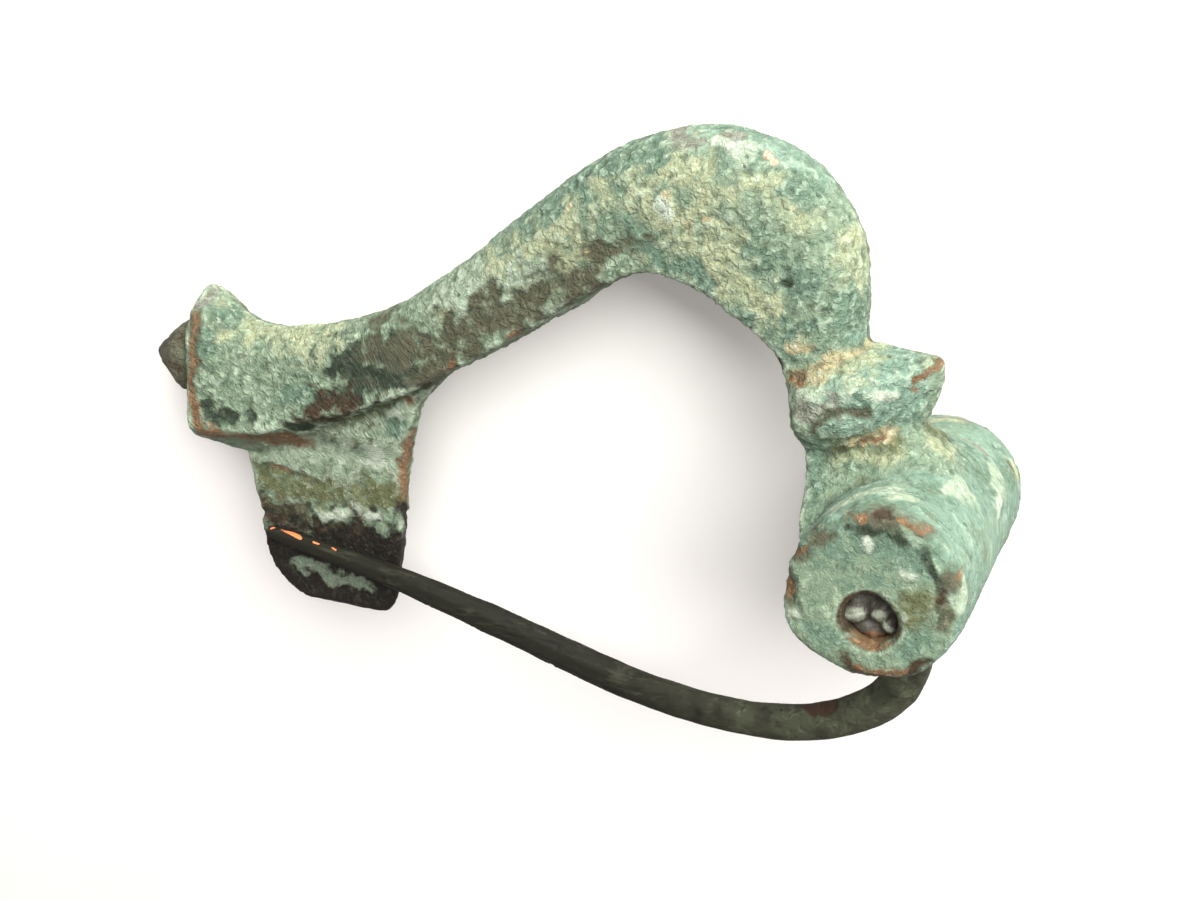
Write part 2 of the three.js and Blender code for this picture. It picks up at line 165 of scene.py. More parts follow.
# %% [markdown]
# ## A grain to carve with
#
# Corrosion is random but not shapeless: its lumps have a size, and finer lumps sit on them. Blender's
# Displace modifier can do this with a texture, but here the same grain also has to decide where the
# crust flakes and where colour changes. So it is written as a small function: random arrows on a
# lattice, smoothly mixed between its corners. Each seed gives its own grain, the same on every run.

# %% Define the grain
LATTICE = 32
GRAIN_GAIN = 1.5


def grain(points, size, seed):
    """Smooth noise from about -1 to 1, with lumps of a size in millimetres."""
    dice = np.random.default_rng(seed)
    arrows = dice.normal(size=(LATTICE, LATTICE, LATTICE, 3))
    arrows /= np.linalg.norm(arrows, axis=-1, keepdims=True)
    place = points / size + dice.uniform(0, LATTICE, 3)
    cell = np.floor(place).astype(int)
    inside = place - cell
    eased = inside**3 * (inside * (inside * 6 - 15) + 10)
    total = np.zeros(len(points))
    for corner in product((0, 1), repeat=3):
        x, y, z = ((cell + corner) % LATTICE).T
        share = np.where(corner, eased, 1 - eased).prod(axis=1)
        total += share * ((inside - corner) * arrows[x, y, z]).sum(axis=1)
    return GRAIN_GAIN * total


def layered(points, size, seed, layers=3):
    """Grain with finer and lower grain on it."""
    return sum(grain(points, size / 2**k, seed + k) / 2**k for k in range(layers))


def ramp(values, low, high):
    """0 below low, 1 above high, and eased in between."""
    t = np.clip((values - low) / (high - low), 0, 1)
    return t * t * (3 - 2 * t)


def fade(values, low, high):
    """1 below low, 0 above high, and eased in between."""
    return 1 - ramp(values, low, high)


# %% [markdown]
# ## A skin that can be carved
#
# The solids have long flat facets, with nothing to carve in. Subdividing them keeps the facets'
# uneven shapes. A voxel remesh wraps the solid in even quads instead, about a tenth of a millimetre
# wide, and rounds its edges a little, as wear and crust did. The skin is made in the brooch's own
# millimetres, carved there, and put back in metres in the row.

# %% Read, move and even out a mesh


def read(mesh, what="co"):
    """The places, or the normals, of a mesh's points."""
    source, field = (mesh.vertices, "co") if what == "co" else (mesh.vertex_normals, "vector")
    values = np.empty(len(source) * 3, np.float32)
    source.foreach_get(field, values)
    return values.reshape(-1, 3).astype(float)


def put(mesh, points):
    """Moves a mesh's points to new places."""
    mesh.vertices.foreach_set("co", points.astype(np.float32).ravel())


def edges_of(mesh):
    """The two points of every edge."""
    ends = np.empty(len(mesh.edges) * 2, np.int32)
    mesh.edges.foreach_get("vertices", ends)
    return ends.reshape(-1, 2).T


def spread(values, edges, passes, share=0.5):
    """Evens values out along the mesh's edges, as wax does when it warms."""
    one, other = edges
    count = len(values)
    links = np.bincount(one, minlength=count) + np.bincount(other, minlength=count)
    columns = values.reshape(count, -1).T.copy()
    for _ in range(passes):
        for i, column in enumerate(columns):
            near = np.bincount(one, column[other], count) + np.bincount(other, column[one], count)
            columns[i] = (1 - share) * column + share * near / links
    return columns.T.reshape(values.shape)


# %% Wrap a solid in an even skin
SAME_POINT = 1e-7
CASTING_CELL = 0.14


def skin_of(node, cell):
    """A node's surface as even quads, in the brooch's millimetres."""
    soup = bmesh.new()
    soup.from_mesh(frame["nodes"][node].data)
    bmesh.ops.remove_doubles(soup, verts=soup.verts, dist=SAME_POINT)
    mesh = bpy.data.meshes.new(node + "_skin")
    soup.to_mesh(mesh)
    soup.free()
    put(mesh, on_brooch(read(mesh)))
    blank = bpy.data.objects.new(node + "_skin", mesh)
    bpy.context.scene.collection.objects.link(blank)
    wrap = blank.modifiers.new("skin", "REMESH")
    wrap.mode = "VOXEL"
    wrap.voxel_size = cell
    graph = bpy.context.evaluated_depsgraph_get()
    skin = bpy.data.meshes.new_from_object(blank.evaluated_get(graph))
    bpy.data.objects.remove(blank)
    return skin


def even_skin(node, cell, passes):
    """A node's skin, a little evened out, with its edges and its points."""
    mesh = skin_of(node, cell)
    edges = edges_of(mesh)
    points = spread(read(mesh), edges, passes)
    put(mesh, points)
    return mesh, edges, points


casting_mesh, casting_edges, cast = even_skin("brooch_casting", CASTING_CELL, 2)
facing = read(casting_mesh, "normal")
print("casting's skin:", len(cast), "points,", len(casting_mesh.polygons), "quads")

# %% [markdown]
# ## The parts of one casting
#
# The head, bow, foot and catchplate are one piece of bronze, so no seam parts them in the skin. But the
# barrel is smoother than the bow, the slot has to stay clear for the pin, and the plate's lower part is
# black. Vertex groups painted by hand could say which part is which. Here each part is a value from 0 to
# 1 at every point, worked out from how far the point lies from the axis or the bore, how far along the
# brooch it is, and which way it faces. The values have soft edges, so one part's crust runs into the
# next. A pair of numbers is where a value starts to change and where it has changed.

# %% Tell the parts of the casting apart
BARREL_RADIUS = 3.6
HEAD_END = 7.2
BORE_RADIUS = 1.2
KNOB_FROM = 37.2
BARREL_SIDE = (3.7, 4.2)
RIM_FROM_AXIS = (2.9, 3.3)
RIM_ALONG_HEAD = (HEAD_END - 0.7, HEAD_END - 0.2)
END_FACING = (0.55, 0.9)
BORE_MOUTH = (HEAD_END - 0.5, HEAD_END)
NEAR_BORE = (5, 6)
SLOT_HALF = (1.3, 1.7)
SLOT_TOP = (0.5, 1.5)
PLATE_TOP = (-1.5, 0)
PLATE_END = (20, 22)
FOOT_END = (24, 28)
FOOT_LOWER_EDGE = (-0.5, 1.0)
FAR_FACING = (-0.2, 0.3)
PLATE_BOTH_SIDES = (2.4, 3.4)

to_foot, to_near, down = -cast.T
from_axis = np.hypot(cast[:, 0], cast[:, 2])
from_bore = np.hypot(cast[:, 0] - AXLE_OFF_CENTRE[0], cast[:, 2] - AXLE_OFF_CENTRE[2])
on_barrel = fade(from_axis, *BARREL_SIDE)
end_face = on_barrel * ramp(-facing[:, 1], *END_FACING)
on_rim = on_barrel * ramp(from_axis, *RIM_FROM_AXIS) * ramp(np.abs(to_near), *RIM_ALONG_HEAD)
in_slot = on_barrel * fade(np.abs(to_near), *SLOT_HALF) * fade(cast[:, 2], *SLOT_TOP)
in_bore = fade(from_bore, BORE_RADIUS, BORE_RADIUS + 0.25)
working = np.maximum(in_bore * fade(to_near, *BORE_MOUTH), 0.8 * in_slot)
bore_edge = on_barrel * fade(from_bore, BORE_RADIUS, BORE_RADIUS + 0.3) * ramp(to_near, *NEAR_BORE)
on_plate = ramp(down, *PLATE_TOP) * ramp(to_foot, *PLATE_END)
on_foot = ramp(to_foot, *FOOT_END) * ramp(cast[:, 2], *FOOT_LOWER_EDGE)
on_knob = ramp(to_foot, KNOB_FROM, KNOB_FROM + 0.4)
unseen = ramp(facing[:, 1], *FAR_FACING) * fade(down, *PLATE_BOTH_SIDES)
print("share on the barrel and on the foot:", on_barrel.mean().round(2), on_foot.mean().round(2))

# %% [markdown]
# ## Where the crust differs
#
# The crust isn't the same all over. Some patches are brown, where it came away, others are teal, pale,
# cream with lime, white, or stained with soil, and at a few scratches the bare metal shines. Painting
# them would need an image. Here a patch is a line with a width, on the near side or on the top. Grain
# moves each point before it is measured to the line, swells and narrows the width, and breaks the
# patch into clouds, so that no line is left to see. A field is 1 in the patch and 0 outside, and its
# edge is at 0.5.

# %% Draw the patches of each kind, in millimetres on the brooch
NEAR_PATCHES = {
    "cream": [
        (0.7, (-36.0, 6.3), (-35.2, 6.1), (-33.8, 5.9), (-31.7, 5.9), (-29.2, 6.1)),
        (0.11, (-38.2, 5.6), (-38.1, 4.6), (-37.9, 3.6)),
        (0.9, (-19.7, 10.3), (-18.6, 11.2), (-17.0, 12.2), (-15.5, 12.9)),
        (0.8, (-17.3, 10.7), (-16.2, 11.0), (-15.0, 11.9)),
        (0.6, (-14.1, 15.0), (-13.6, 14.3)),
        (1.0, (-12.0, 15.0), (-10.8, 15.3), (-9.2, 15.2)),
        (0.9, (-10.4, 13.8), (-9.0, 13.6)),
        (1.1, (-10.0, 12.3), (-8.6, 12.0), (-7.2, 11.2), (-6.6, 10.0)),
        (0.5, (-5.4, 14.4), (-5.1, 14.2)),
        (0.4, (-7.8, 15.5), (-7.0, 15.3)),
        (0.4, (-6.3, 15.0), (-6.0, 15.0)),
        (0.5, (-3.2, 13.2), (-2.8, 12.2), (-2.7, 11.5)),
        (0.5, (-4.2, 7.4), (-3.4, 7.7), (-2.3, 8.1)),
        (0.3, (-2.5, 3.9), (-1.4, 4.2), (-0.4, 4.6)),
        (0.5, (-21.9, 9.0), (-22.3, 8.3)),
    ],
    "teal": [
        (0.5, (-36.4, 7.0), (-35.3, 6.6)),
        (0.4, (-36.2, 5.9), (-36.0, 4.9)),
        (0.8, (-18.4, 13.0), (-15.3, 14.9), (-13.6, 15.8), (-12.0, 16.2)),
        (0.6, (-13.2, 13.4), (-12.0, 12.4), (-11.1, 11.5), (-9.5, 10.7), (-8.0, 9.7), (-7.1, 9.2),
         (-5.9, 8.2)),
        (0.6, (-7.1, 12.4), (-5.8, 11.9), (-4.4, 11.4)),
        (0.35, (-5.6, 11.5), (-5.1, 11.4)),
        (0.9, (-4.9, 9.6), (-3.9, 9.5), (-3.0, 10.2)),
        (0.5, (-8.6, 15.9), (-7.6, 16.1)),
        (0.5, (-5.7, 15.2), (-5.0, 14.8)),
        (0.5, (-31.5, 3.2), (-30.3, 3.0)),
        (0.6, (-26.3, 1.7), (-25.9, 1.2)),
        (0.5, (-4.0, 4.4), (-3.8, 3.6), (-3.8, 2.9)),
        (1.0, (-1.4, 2.2), (0.8, 2.0), (1.9, 2.2), (2.4, 1.5)),
        (0.4, (-2.4, -1.8), (-1.4, -2.2)),
        (0.5, (2.0, -1.1), (1.6, -1.9)),
    ],
    "pale": [
        (0.5, (-31.9, 0.8), (-29.6, 1.0), (-28.7, 1.9), (-26.8, 2.9), (-25.6, 3.3), (-23.9, 4.0)),
        (1.4, (-31.8, -0.5), (-29.0, -0.3), (-26.8, 0.0)),
        (0.3, (-35.1, -1.1), (-33.5, -1.2), (-32.0, -1.5), (-30.6, -1.7)),
        (0.5, (-29.3, -2.6), (-28.4, -3.0)),
        (0.35, (-30.8, -3.8), (-29.3, -3.7), (-27.5, -3.4)),
        (0.5, (-17.2, 8.3), (-15.7, 9.2)),
        (0.4, (-4.5, 6.8), (-3.8, 7.1)),
        (0.5, (3.4, 0.8), (3.4, 0.2)),
        (0.4, (-8.1, 16.4), (-7.9, 16.2)),
        (0.8, (-18.4, 10.2), (-17.2, 10.6)),
        (0.9, (-22.2, 8.9), (-21.2, 8.4), (-20.6, 9.6)),
    ],
    "murk": [
        (1.0, (-28.2, 4.5), (-26.9, 5.0), (-25.3, 5.2), (-24.2, 5.2)),
        (0.8, (-26.9, 4.4), (-25.0, 4.7)),
        (0.35, (-36.1, 2.1), (-35.8, 1.4)),
        (0.3, (-35.4, 1.9), (-34.7, 1.7)),
        (0.3, (-33.9, 1.7), (-33.5, 1.7)),
        (0.2, (-31.5, 1.3), (-30.7, 1.6)),
        (0.3, (-34.5, -1.9), (-34.2, -1.8)),
        (0.1, (-5.5, 11.5), (-5.2, 11.3)),
        (0.45, (-0.9, 2.8), (-0.1, 3.0), (0.9, 2.8)),
        (0.25, (1.9, 2.2), (2.4, 1.4)),
        (0.32, (2.8, 1.2), (2.85, 0.1), (3.0, -0.4)),
    ],
    "mauve": [
        (0.25, (-11.1, 16.8), (-9.9, 16.9)),
        (0.2, (-8.9, 17.1), (-8.2, 17.1)),
        (0.45, (-36.9, 7.3), (-36.6, 7.7)),
        (0.5, (-4.3, 6.1), (-3.6, 6.1), (-3.0, 6.3)),
    ],
    "oxide": [
        (1.0, (-26.0, 6.2), (-24.5, 6.2), (-22.9, 6.0), (-21.6, 6.6)),
        (0.8, (-23.8, 4.9), (-23.0, 5.2)),
        (0.9, (-21.9, 6.9), (-19.4, 8.2), (-17.6, 9.0), (-15.9, 10.2), (-14.6, 10.9)),
        (0.55, (-14.2, 11.6), (-13.0, 12.3)),
        (0.4, (-13.0, 12.4), (-12.6, 11.9)),
        (0.6, (-19.9, 9.2), (-19.3, 9.5)),
        (0.2, (-11.8, 12.8), (-11.6, 12.6)),
        (0.5, (-34.4, -4.0), (-32.2, -3.8)),
        (0.22, (-33.9, -1.65), (-32.0, -1.8), (-30.5, -1.9)),
        (0.3, (-36.9, 6.5), (-36.6, 5.4), (-36.6, 4.6), (-36.9, 3.5), (-36.9, 2.5)),
        (0.22, (-3.2, 5.8), (-2.5, 6.1), (-1.9, 6.2)),
        (0.3, (-3.7, 5.1), (-3.2, 5.6)),
        (0.3, (-3.2, 1.3), (-2.5, 2.0), (-1.9, 2.4)),
        (0.2, (-3.4, 0.6), (-3.5, -0.6)),
        (0.22, (-1.2, 3.2), (-0.6, 3.3)),
        (0.4, (-0.1, 3.4), (1.0, 3.1)),
        (0.25, (0.9, 3.4), (1.5, 3.3), (1.9, 3.1)),
        (0.35, (3.2, 1.7), (3.1, 1.3)),
        (0.3, (3.0, -0.2), (3.1, -0.8)),
    ],
    "brown": [
        (0.7, (-34.2, -4.5), (-31.5, -4.6), (-28.5, -4.4)),
        (0.65, (-29.8, 2.4), (-28.6, 3.0), (-27.4, 3.1)),
        (0.4, (-29.6, 1.9), (-29.0, 2.3)),
        (0.25, (-36.9, 6.3), (-36.7, 5.9)),
        (0.3, (-25.4, 1.0), (-25.6, -0.1), (-25.8, -2.0), (-25.9, -3.0)),
        (0.16, (-6.1, 8.0), (-5.7, 7.6)),
        (0.3, (-1.0, -2.9), (0.0, -3.3), (1.2, -3.2), (2.2, -2.5)),
        (0.16, (-0.2, 3.5), (0.5, 3.4)),
        (0.2, (2.7, 0.8), (2.75, 0.3)),
    ],
    "black": [
        (1.9, (-33.2, -6.6), (-29.5, -6.2), (-26.5, -5.4)),
        (1.7, (-31.4, -8.6), (-28.0, -8.9)),
    ],
    "regrown": [(0.5, (-32.3, -6.9), (-31.2, -7.1), (-30.0, -7.35), (-28.7, -7.5))],
    "chalk": [
        (0.45, (-27.3, 0.0), (-27.1, -0.3)),
        (0.32, (-26.3, 2.4), (-25.8, 2.5)),
        (0.4, (-28.8, -2.6), (-28.4, -3.0)),
        (0.22, (-30.8, -3.8), (-29.3, -3.7)),
        (0.22, (-28.0, -3.5), (-27.4, -3.3)),
        (0.22, (-9.2, 16.8), (-8.5, 16.8), (-8.1, 16.5)),
        (0.3, (-11.0, 14.1), (-10.7, 14.0)),
        (0.2, (-0.3, 2.5), (-0.3, 1.9)),
        (0.15, (1.4, 1.4), (1.6, 1.4)),
        (0.25, (-3.3, -1.1), (-3.3, -1.3)),
        (0.22, (-1.4, 6.9), (-1.0, 6.9)),
    ],
    "soil": [
        (0.7, (-34.5, -2.5), (-32.1, -2.6), (-29.8, -2.3), (-26.3, -1.8)),
        (0.16, (-29.6, 0.7), (-29.5, 0.6)),
        (0.14, (-27.5, 1.5), (-27.4, 1.5)),
        (0.12, (-27.6, 0.7), (-27.6, 0.6)),
        (0.12, (-28.2, 0.4), (-28.2, 0.3)),
        (0.4, (-2.9, 4.5), (-1.6, 4.7), (-0.6, 5.0)),
        (0.5, (1.8, 0.4), (1.6, -0.3)),
    ],
    "ochre": [
        (0.22, (-5.0, 7.3), (-4.2, 7.6), (-3.4, 7.9), (-2.7, 8.3)),
        (0.2, (-5.2, 8.5), (-4.5, 8.6)),
        (0.25, (-2.2, 4.8), (-1.0, 5.2)),
        (0.13, (-10.9, 14.5), (-10.8, 14.4)),
        (0.14, (-10.0, 13.5), (-9.9, 13.5)),
        (0.13, (-9.1, 13.7), (-9.0, 13.7)),
        (0.12, (-15.8, 13.6), (-15.7, 13.6)),
        (0.12, (-14.9, 11.7), (-14.8, 11.7)),
    ],
    "ember": [
        (0.3, (-37.0, 2.6), (-36.8, 1.3), (-36.5, 0.75), (-35.1, 0.5), (-33.3, 0.35), (-31.5, 0.45)),
        (0.17, (-36.9, 6.6), (-36.7, 5.4), (-36.75, 4.6), (-37.0, 3.4), (-37.05, 2.4)),
        (0.28, (-25.3, 1.4), (-25.6, -0.1), (-25.8, -1.9)),
        (0.15, (-25.4, 3.3), (-25.1, 3.4)),
        (0.15, (-22.3, 5.6), (-22.0, 5.8)),
        (0.12, (-18.7, 7.4), (-18.4, 7.6)),
        (0.25, (-5.1, 7.2), (-4.7, 7.4)),
        (0.1, (-1.9, 4.9), (-1.2, 5.1)),
        (0.12, (-33.8, -1.6), (-32.6, -1.7)),
        (0.13, (-0.9, 3.3), (-0.6, 3.3)),
        (0.1, (0.9, 3.5), (1.5, 3.3), (1.9, 3.1)),
        (0.13, (3.25, 1.7), (3.15, 1.4)),
        (0.12, (-3.1, 1.5), (-2.7, 1.9)),
        (0.14, (-3.5, 0.0), (-3.5, -0.5)),
        (0.14, (-0.3, -3.0), (0.7, -3.0), (1.4, -2.8)),
        (0.13, (0.7, 8.0), (0.6, 7.8), (0.2, 7.5)),
        (0.12, (0.0, 7.2), (0.1, 7.1)),
    ],
    "bare": [
        (0.1, (-7.05, 16.55), (-6.95, 16.3)),
        (0.13, (-6.85, 16.1), (-6.8, 16.0)),
    ],
}
TOP_PATCHES = {
    "mauve": [(0.12, (1.3, 4.3), (2.4, 4.4)), (0.25, (-0.4, 6.2), (0.8, 6.2))],
    "pale": [
        (0.5, (-2.2, -5.6), (-0.8, -4.8), (0.6, -4.6)),
        (0.35, (1.8, -2.5), (2.4, -1.0)),
        (0.5, (2.9, 2.2), (3.0, 3.6)),
    ],
    "teal": [
        (0.5, (-1.0, -6.4), (0.6, -6.0)),
        (0.6, (2.0, 1.0), (2.4, 2.4)),
        (0.4, (3.2, 4.6), (3.4, 5.4)),
        (0.5, (0.6, -3.2), (1.4, -3.4)),
    ],
    "chalk": [(0.2, (3.2, 2.1), (3.4, 1.0))],
    "cream": [
        (0.4, (-0.4, 5.7), (0.4, 5.9)),
        (0.3, (0.9, -0.8), (1.3, 0.5), (0.9, 3.0)),
        (0.3, (3.5, 5.6), (3.6, 6.2)),
    ],
    "oxide": [(0.14, (3.3, 5.7), (3.5, 5.9))],
    "soil": [(0.3, (0.4, -0.6), (0.7, 1.4), (0.5, 2.6))],
}
print("lines on the near side:", {kind: len(lines) for kind, lines in NEAR_PATCHES.items()})
print("lines on the top:", {kind: len(lines) for kind, lines in TOP_PATCHES.items()})

# %% Turn lines into ragged patches
RAGGED_WIDE = (1.3, 0.40)
RAGGED_FINE = (0.45, 0.15)
SWELL = 0.45
SWELL_SIZE = 1.1
CLOUDS = 0.75
CLOUD_SIZE = 0.8
WIDE_PATCH = 0.7
PATCH_FADE = 2.2
NEAR_FACING = (-0.35, 0.1)
TOP_FACING = (0.1, 0.4)
END_OF_HEAD = (5.5, 6.5)
NEAR_PLANE = (0, 2)
TOP_PLANE = (0, 1)
PATCH_SEED = 150
SEED_STEP = 10


def shifted(points, seed, strength=1.0):
    """The points moved about by a wide and a fine grain, to make what is measured from them ragged."""
    moved = points.copy()
    for size, far in (RAGGED_WIDE, RAGGED_FINE):
        for i in range(3):
            seed += 1
            moved[:, i] += strength * far * grain(points, size, seed)
    return moved


def to_line(points, line):
    """How far points are from a line that bends, in the plane."""
    nearest = np.full(len(points), np.inf)
    for start, end in zip(np.array(line[:-1]), np.array(line[1:])):
        along = end - start
        share = np.clip((points - start) @ along / (along @ along), 0, 1)
        gap = np.linalg.norm(points - start - share[:, None] * along, axis=1)
        nearest = np.minimum(nearest, gap)
    return nearest


def patches(points, table, plane, seen, seed):
    """The field of one kind of patch: 1 inside, 0.5 at its edge, 0 outside."""
    field = np.zeros(len(points))
    swell = 1 + SWELL * grain(points, SWELL_SIZE, seed)
    clouds = CLOUDS * layered(points, CLOUD_SIZE, seed + 1, 4)
    for radius, *line in table:
        depth = (radius * swell - to_line(points[:, plane], line)) / (PATCH_FADE * radius)
        broken = clouds * min(1, radius / WIDE_PATCH)
        field = np.maximum(field, seen * np.clip(0.5 + depth + broken, 0, 1))
    return field


ragged = shifted(cast, 100)
near_side = np.maximum(ramp(-facing[:, 1], *NEAR_FACING), ramp(-ragged[:, 2], *PLATE_BOTH_SIDES))
near_side *= 1 - on_barrel * fade(to_near, *END_OF_HEAD)
top_side = ramp(facing[:, 2], *TOP_FACING)
fields = {}
for i, kind in enumerate(NEAR_PATCHES):
    seed = PATCH_SEED + SEED_STEP * i
    on_near = patches(ragged, NEAR_PATCHES[kind], NEAR_PLANE, near_side, seed)
    on_top = patches(ragged, TOP_PATCHES.get(kind, ()), TOP_PLANE, top_side, seed + SEED_STEP // 2)
    fields[kind] = np.maximum(on_near, on_top)
print("kinds of crust:", len(fields), "points:", len(ragged))

# %% [markdown]
# ## The far side, the knob, the bore and the plate's foot
#
# The lines say what lies on the near side and the top. The far side lies on the table, and nobody has
# seen it. Left plain, it would look unfinished from behind, and mirrored, its patches would be the near
# side's again. So the grain alone decides there, with the same kinds of crust. The knob is mostly worn
# to brown, the bore's edge is brown with a warm stain below the axle, and the plate is black below a
# slanting, wavering line.

# %% Fill the unseen side, the knob, the bore and the plate's foot
SCATTERED = (
    # kind, blotch mm, seed, how rare
    ("oxide", 3.4, 301, 0.30),
    ("cream", 1.6, 311, 0.25),
    ("teal", 1.8, 321, 0.28),
    ("soil", 1.5, 331, 0.50),
    ("mauve", 1.4, 341, 0.52),
)
SCATTER_GAIN = 1.6
STAIN = 0.62
STAIN_BELOW = (1.5, 2.0)
BLACK_LINE = 4.7
BLACK_LINE_AT = 30
BLACK_SLOPE = 0.12
BLACK_WAVER = 0.5
BLACK_GRAIN = np.array((0.4, 1, 1))
BLACK_EDGE = (-1.1, 0.9)


def deepen(kind, field):
    """Lays a field over a kind's own, wherever it is the stronger."""
    fields[kind] = np.maximum(fields[kind], field)


def clouded(level, strength, size, seed, layers=3):
    """A level of a field, broken into clouds."""
    return np.clip(level + strength * layered(cast, size, seed, layers), 0, 1)


for kind, size, seed, rare in SCATTERED:
    deepen(kind, unseen * clouded(0.5 - SCATTER_GAIN * rare, SCATTER_GAIN, size, seed, 4))
deepen("oxide", on_knob * clouded(0.8, 0.3, 1.0, 351))
deepen("brown", on_knob * clouded(0.34, 0.5, 0.9, 361))
deepen("brown", bore_edge * clouded(0.7, 0.7, 0.8, 371))
deepen("ember", STAIN * in_bore * ramp(down, *STAIN_BELOW) * ramp(to_near, *NEAR_BORE))
black_from = BLACK_LINE - BLACK_SLOPE * (ragged[:, 0] + BLACK_LINE_AT)
black_from += BLACK_WAVER * layered(ragged * BLACK_GRAIN, 0.9, 381)
deepen("black", on_plate * ramp(-ragged[:, 2] - black_from, *BLACK_EDGE))
print("share of each kind:", {kind: round(float((v > 0.5).mean()), 3) for kind, v in fields.items()})

# %% [markdown]
# ## Carving the crust
#
# A bump map would only pretend to be rough, and would be lost on the outline and in the mesh. So the
# crust is carved into the skin, along its normals: the slow unevenness of hand work, lumps, thin
# raised veins between them, and pits. Where a patch is brown or black the crust is gone, so the skin
# drops there by its thickness, and lime stands a little proud. The bore and the slot stay smooth, to
# leave the axle and the pin's eye their room. The barrel is smoother than the bow, with fine streaks
# round it, its rim is chipped, and the knob's sides are swelled a little.

# %% Carve lumps, veins, pits and flakes
HAND_WORK = 0.06
LUMPS = 0.045
VEINS = 0.045
STREAKS = 0.032
RIM_CHIPS = 0.2
KNOB_SWELL = 0.12
KNOB_LENGTH = 3.8
FLAKE = {"oxide": -0.07, "brown": -0.05, "black": -0.05, "murk": -0.04, "mauve": -0.04, "ember": -0.03,
         "bare": -0.05, "regrown": 0.05, "chalk": 0.05, "cream": 0.03, "pale": 0.03, "soil": 0.02}
PITS = 420
PIT_RADIUS = (0.1, 0.38)
PIT_DEPTH = 0.36
LIP_HEIGHT = 0.25
LIP_AT = 1.15
LIP_WIDTH = 0.12
CRUST_GONE = (0.3, 0.6)
FLAKE_EDGE = (0.25, 0.75)
CHIP_EDGE = (0.1, 0.7)


def pitted(points, count, radius, seed):
    """Ragged pits, deepest in the middle, with a low raised lip, at random points of the skin."""
    dice = np.random.default_rng(seed)
    middles = points[dice.choice(len(points), count, replace=False)]
    radii = dice.uniform(*radius, count) ** 2 / radius[1]
    finder = kdtree.KDTree(count)
    for i, middle in enumerate(middles):
        finder.insert(middle, i)
    finder.balance()
    nearest = [finder.find(point)[1:] for point in shifted(points, seed, 0.5)]
    which = np.array([i for i, _ in nearest])
    share = np.array([gap for _, gap in nearest]) / radii[which]
    bowl = -np.clip(1 - share**2, 0, 1) ** 2
    lip = LIP_HEIGHT * np.clip(1 - (share - LIP_AT) ** 2 / LIP_WIDTH, 0, 1)
    return (bowl + lip) * radii[which]


gone = ramp(np.maximum(fields["oxide"], fields["black"]), *CRUST_GONE)
rough = (1 - 0.45 * on_barrel) * (1 - 0.4 * gone) * (1 - 0.35 * on_plate) * (1 - working)
around = np.arctan2(cast[:, 2], cast[:, 0]) * BARREL_RADIUS
round_barrel = np.column_stack((around * 0.5, cast[:, 1], from_axis * 0.3))
along_knob = np.clip((to_foot - KNOB_FROM) / KNOB_LENGTH, 0, 1)

height = HAND_WORK * layered(cast, 3.0, 11, 2) * (1 - working)
height += LUMPS * rough * layered(cast, 0.85, 21)
height += VEINS * rough * (1 - 3 * np.abs(layered(cast, 0.6, 31, 2)))
height += PIT_DEPTH * rough * (1 - 0.6 * on_foot) * pitted(cast, PITS, PIT_RADIUS, 41)
height += STREAKS * on_barrel * (1 - working) * (1 - end_face) * layered(round_barrel, 0.34, 51, 2)
height += KNOB_SWELL * 4 * along_knob * (1 - along_knob) * ramp(facing[:, 0], 0.5, -0.2)
height -= RIM_CHIPS * on_rim * ramp(layered(cast, 1.3, 61), *CHIP_EDGE)
for kind, step in FLAKE.items():
    height += step * ramp(fields[kind], *FLAKE_EDGE) * (1 - working)
carved = cast + facing * height[:, None]
print("carving from", height.min().round(3), "to", height.max().round(3), "mm")

# %% [markdown]
# ## What rubbing, soil and painted light find
#
# Fingers and cloth rub what stands out, and soil stays in the creases. The casting's finish also paints
# a highlight on what stands out and paints shade into the fine hollows. Both can be measured: a point
# that stands above the evened-out surface is proud, and one below it is hollow. Fine hollows come from a
# little evening, and the creases beside the collar from a lot. Cycles has a Pointiness output for this,
# but it isn't kept with the mesh, so the two are kept on the points, as the patches are.

# %% Measure what is proud and what is hollow
FINE_PASSES = 10
WIDE_PASSES = 70
FINE_STEP = 0.03
WIDE_STEP = 0.2


def proud_of(points, facing, edges, passes, scale):
    """How far points stand above (or, below 0, under) their evened-out surroundings."""
    return ((points - spread(points, edges, passes)) * facing).sum(axis=1) / scale


def keep(mesh, marks):
    """Stores values on a mesh's points, for the materials to read by name."""
    for name, values in marks.items():
        vector = values.ndim == 2
        kept = mesh.attributes.new(name, "FLOAT_VECTOR" if vector else "FLOAT", "POINT")
        kept.data.foreach_set("vector" if vector else "value", values.astype(np.float32).ravel())


def settle(name, mesh, points):
    """A piece: its carved skin, put in its place in the row with nothing under the table top."""
    placed = in_row(points)
    placed[:, 2] = np.maximum(placed[:, 2], 0)
    put(mesh, placed)
    mesh.shade_smooth()
    mesh.update()
    piece = bpy.data.objects.new(name, mesh)
    bpy.context.scene.collection.objects.link(piece)
    return piece


fine = proud_of(carved, facing, casting_edges, FINE_PASSES, FINE_STEP) * (1 - 0.7 * on_rim)
wide = proud_of(spread(carved, casting_edges, 4), facing, casting_edges, WIDE_PASSES, WIDE_STEP)
print("proud 5-95%:", np.percentile(fine, (5, 95)).round(2))
print("crease 5-95%:", np.percentile(-wide, (5, 95)).round(2))

# %% [markdown]
# ## Where the green turns to sea green, and how coarse it is
#
# Two more marks are kept. The first says where the crust is more like the sea than olive: on the
# barrel, on the collar over it, and on the bow's top. The second says how coarse the finest relief is,
# because the foot is rougher than the barrel. Both could be drawn as lines too, but they follow the
# parts, so they are worked out from them. On the foot the relief is also stretched one way, since its
# crust lies in slanting wrinkles. Then the casting is put in its place.

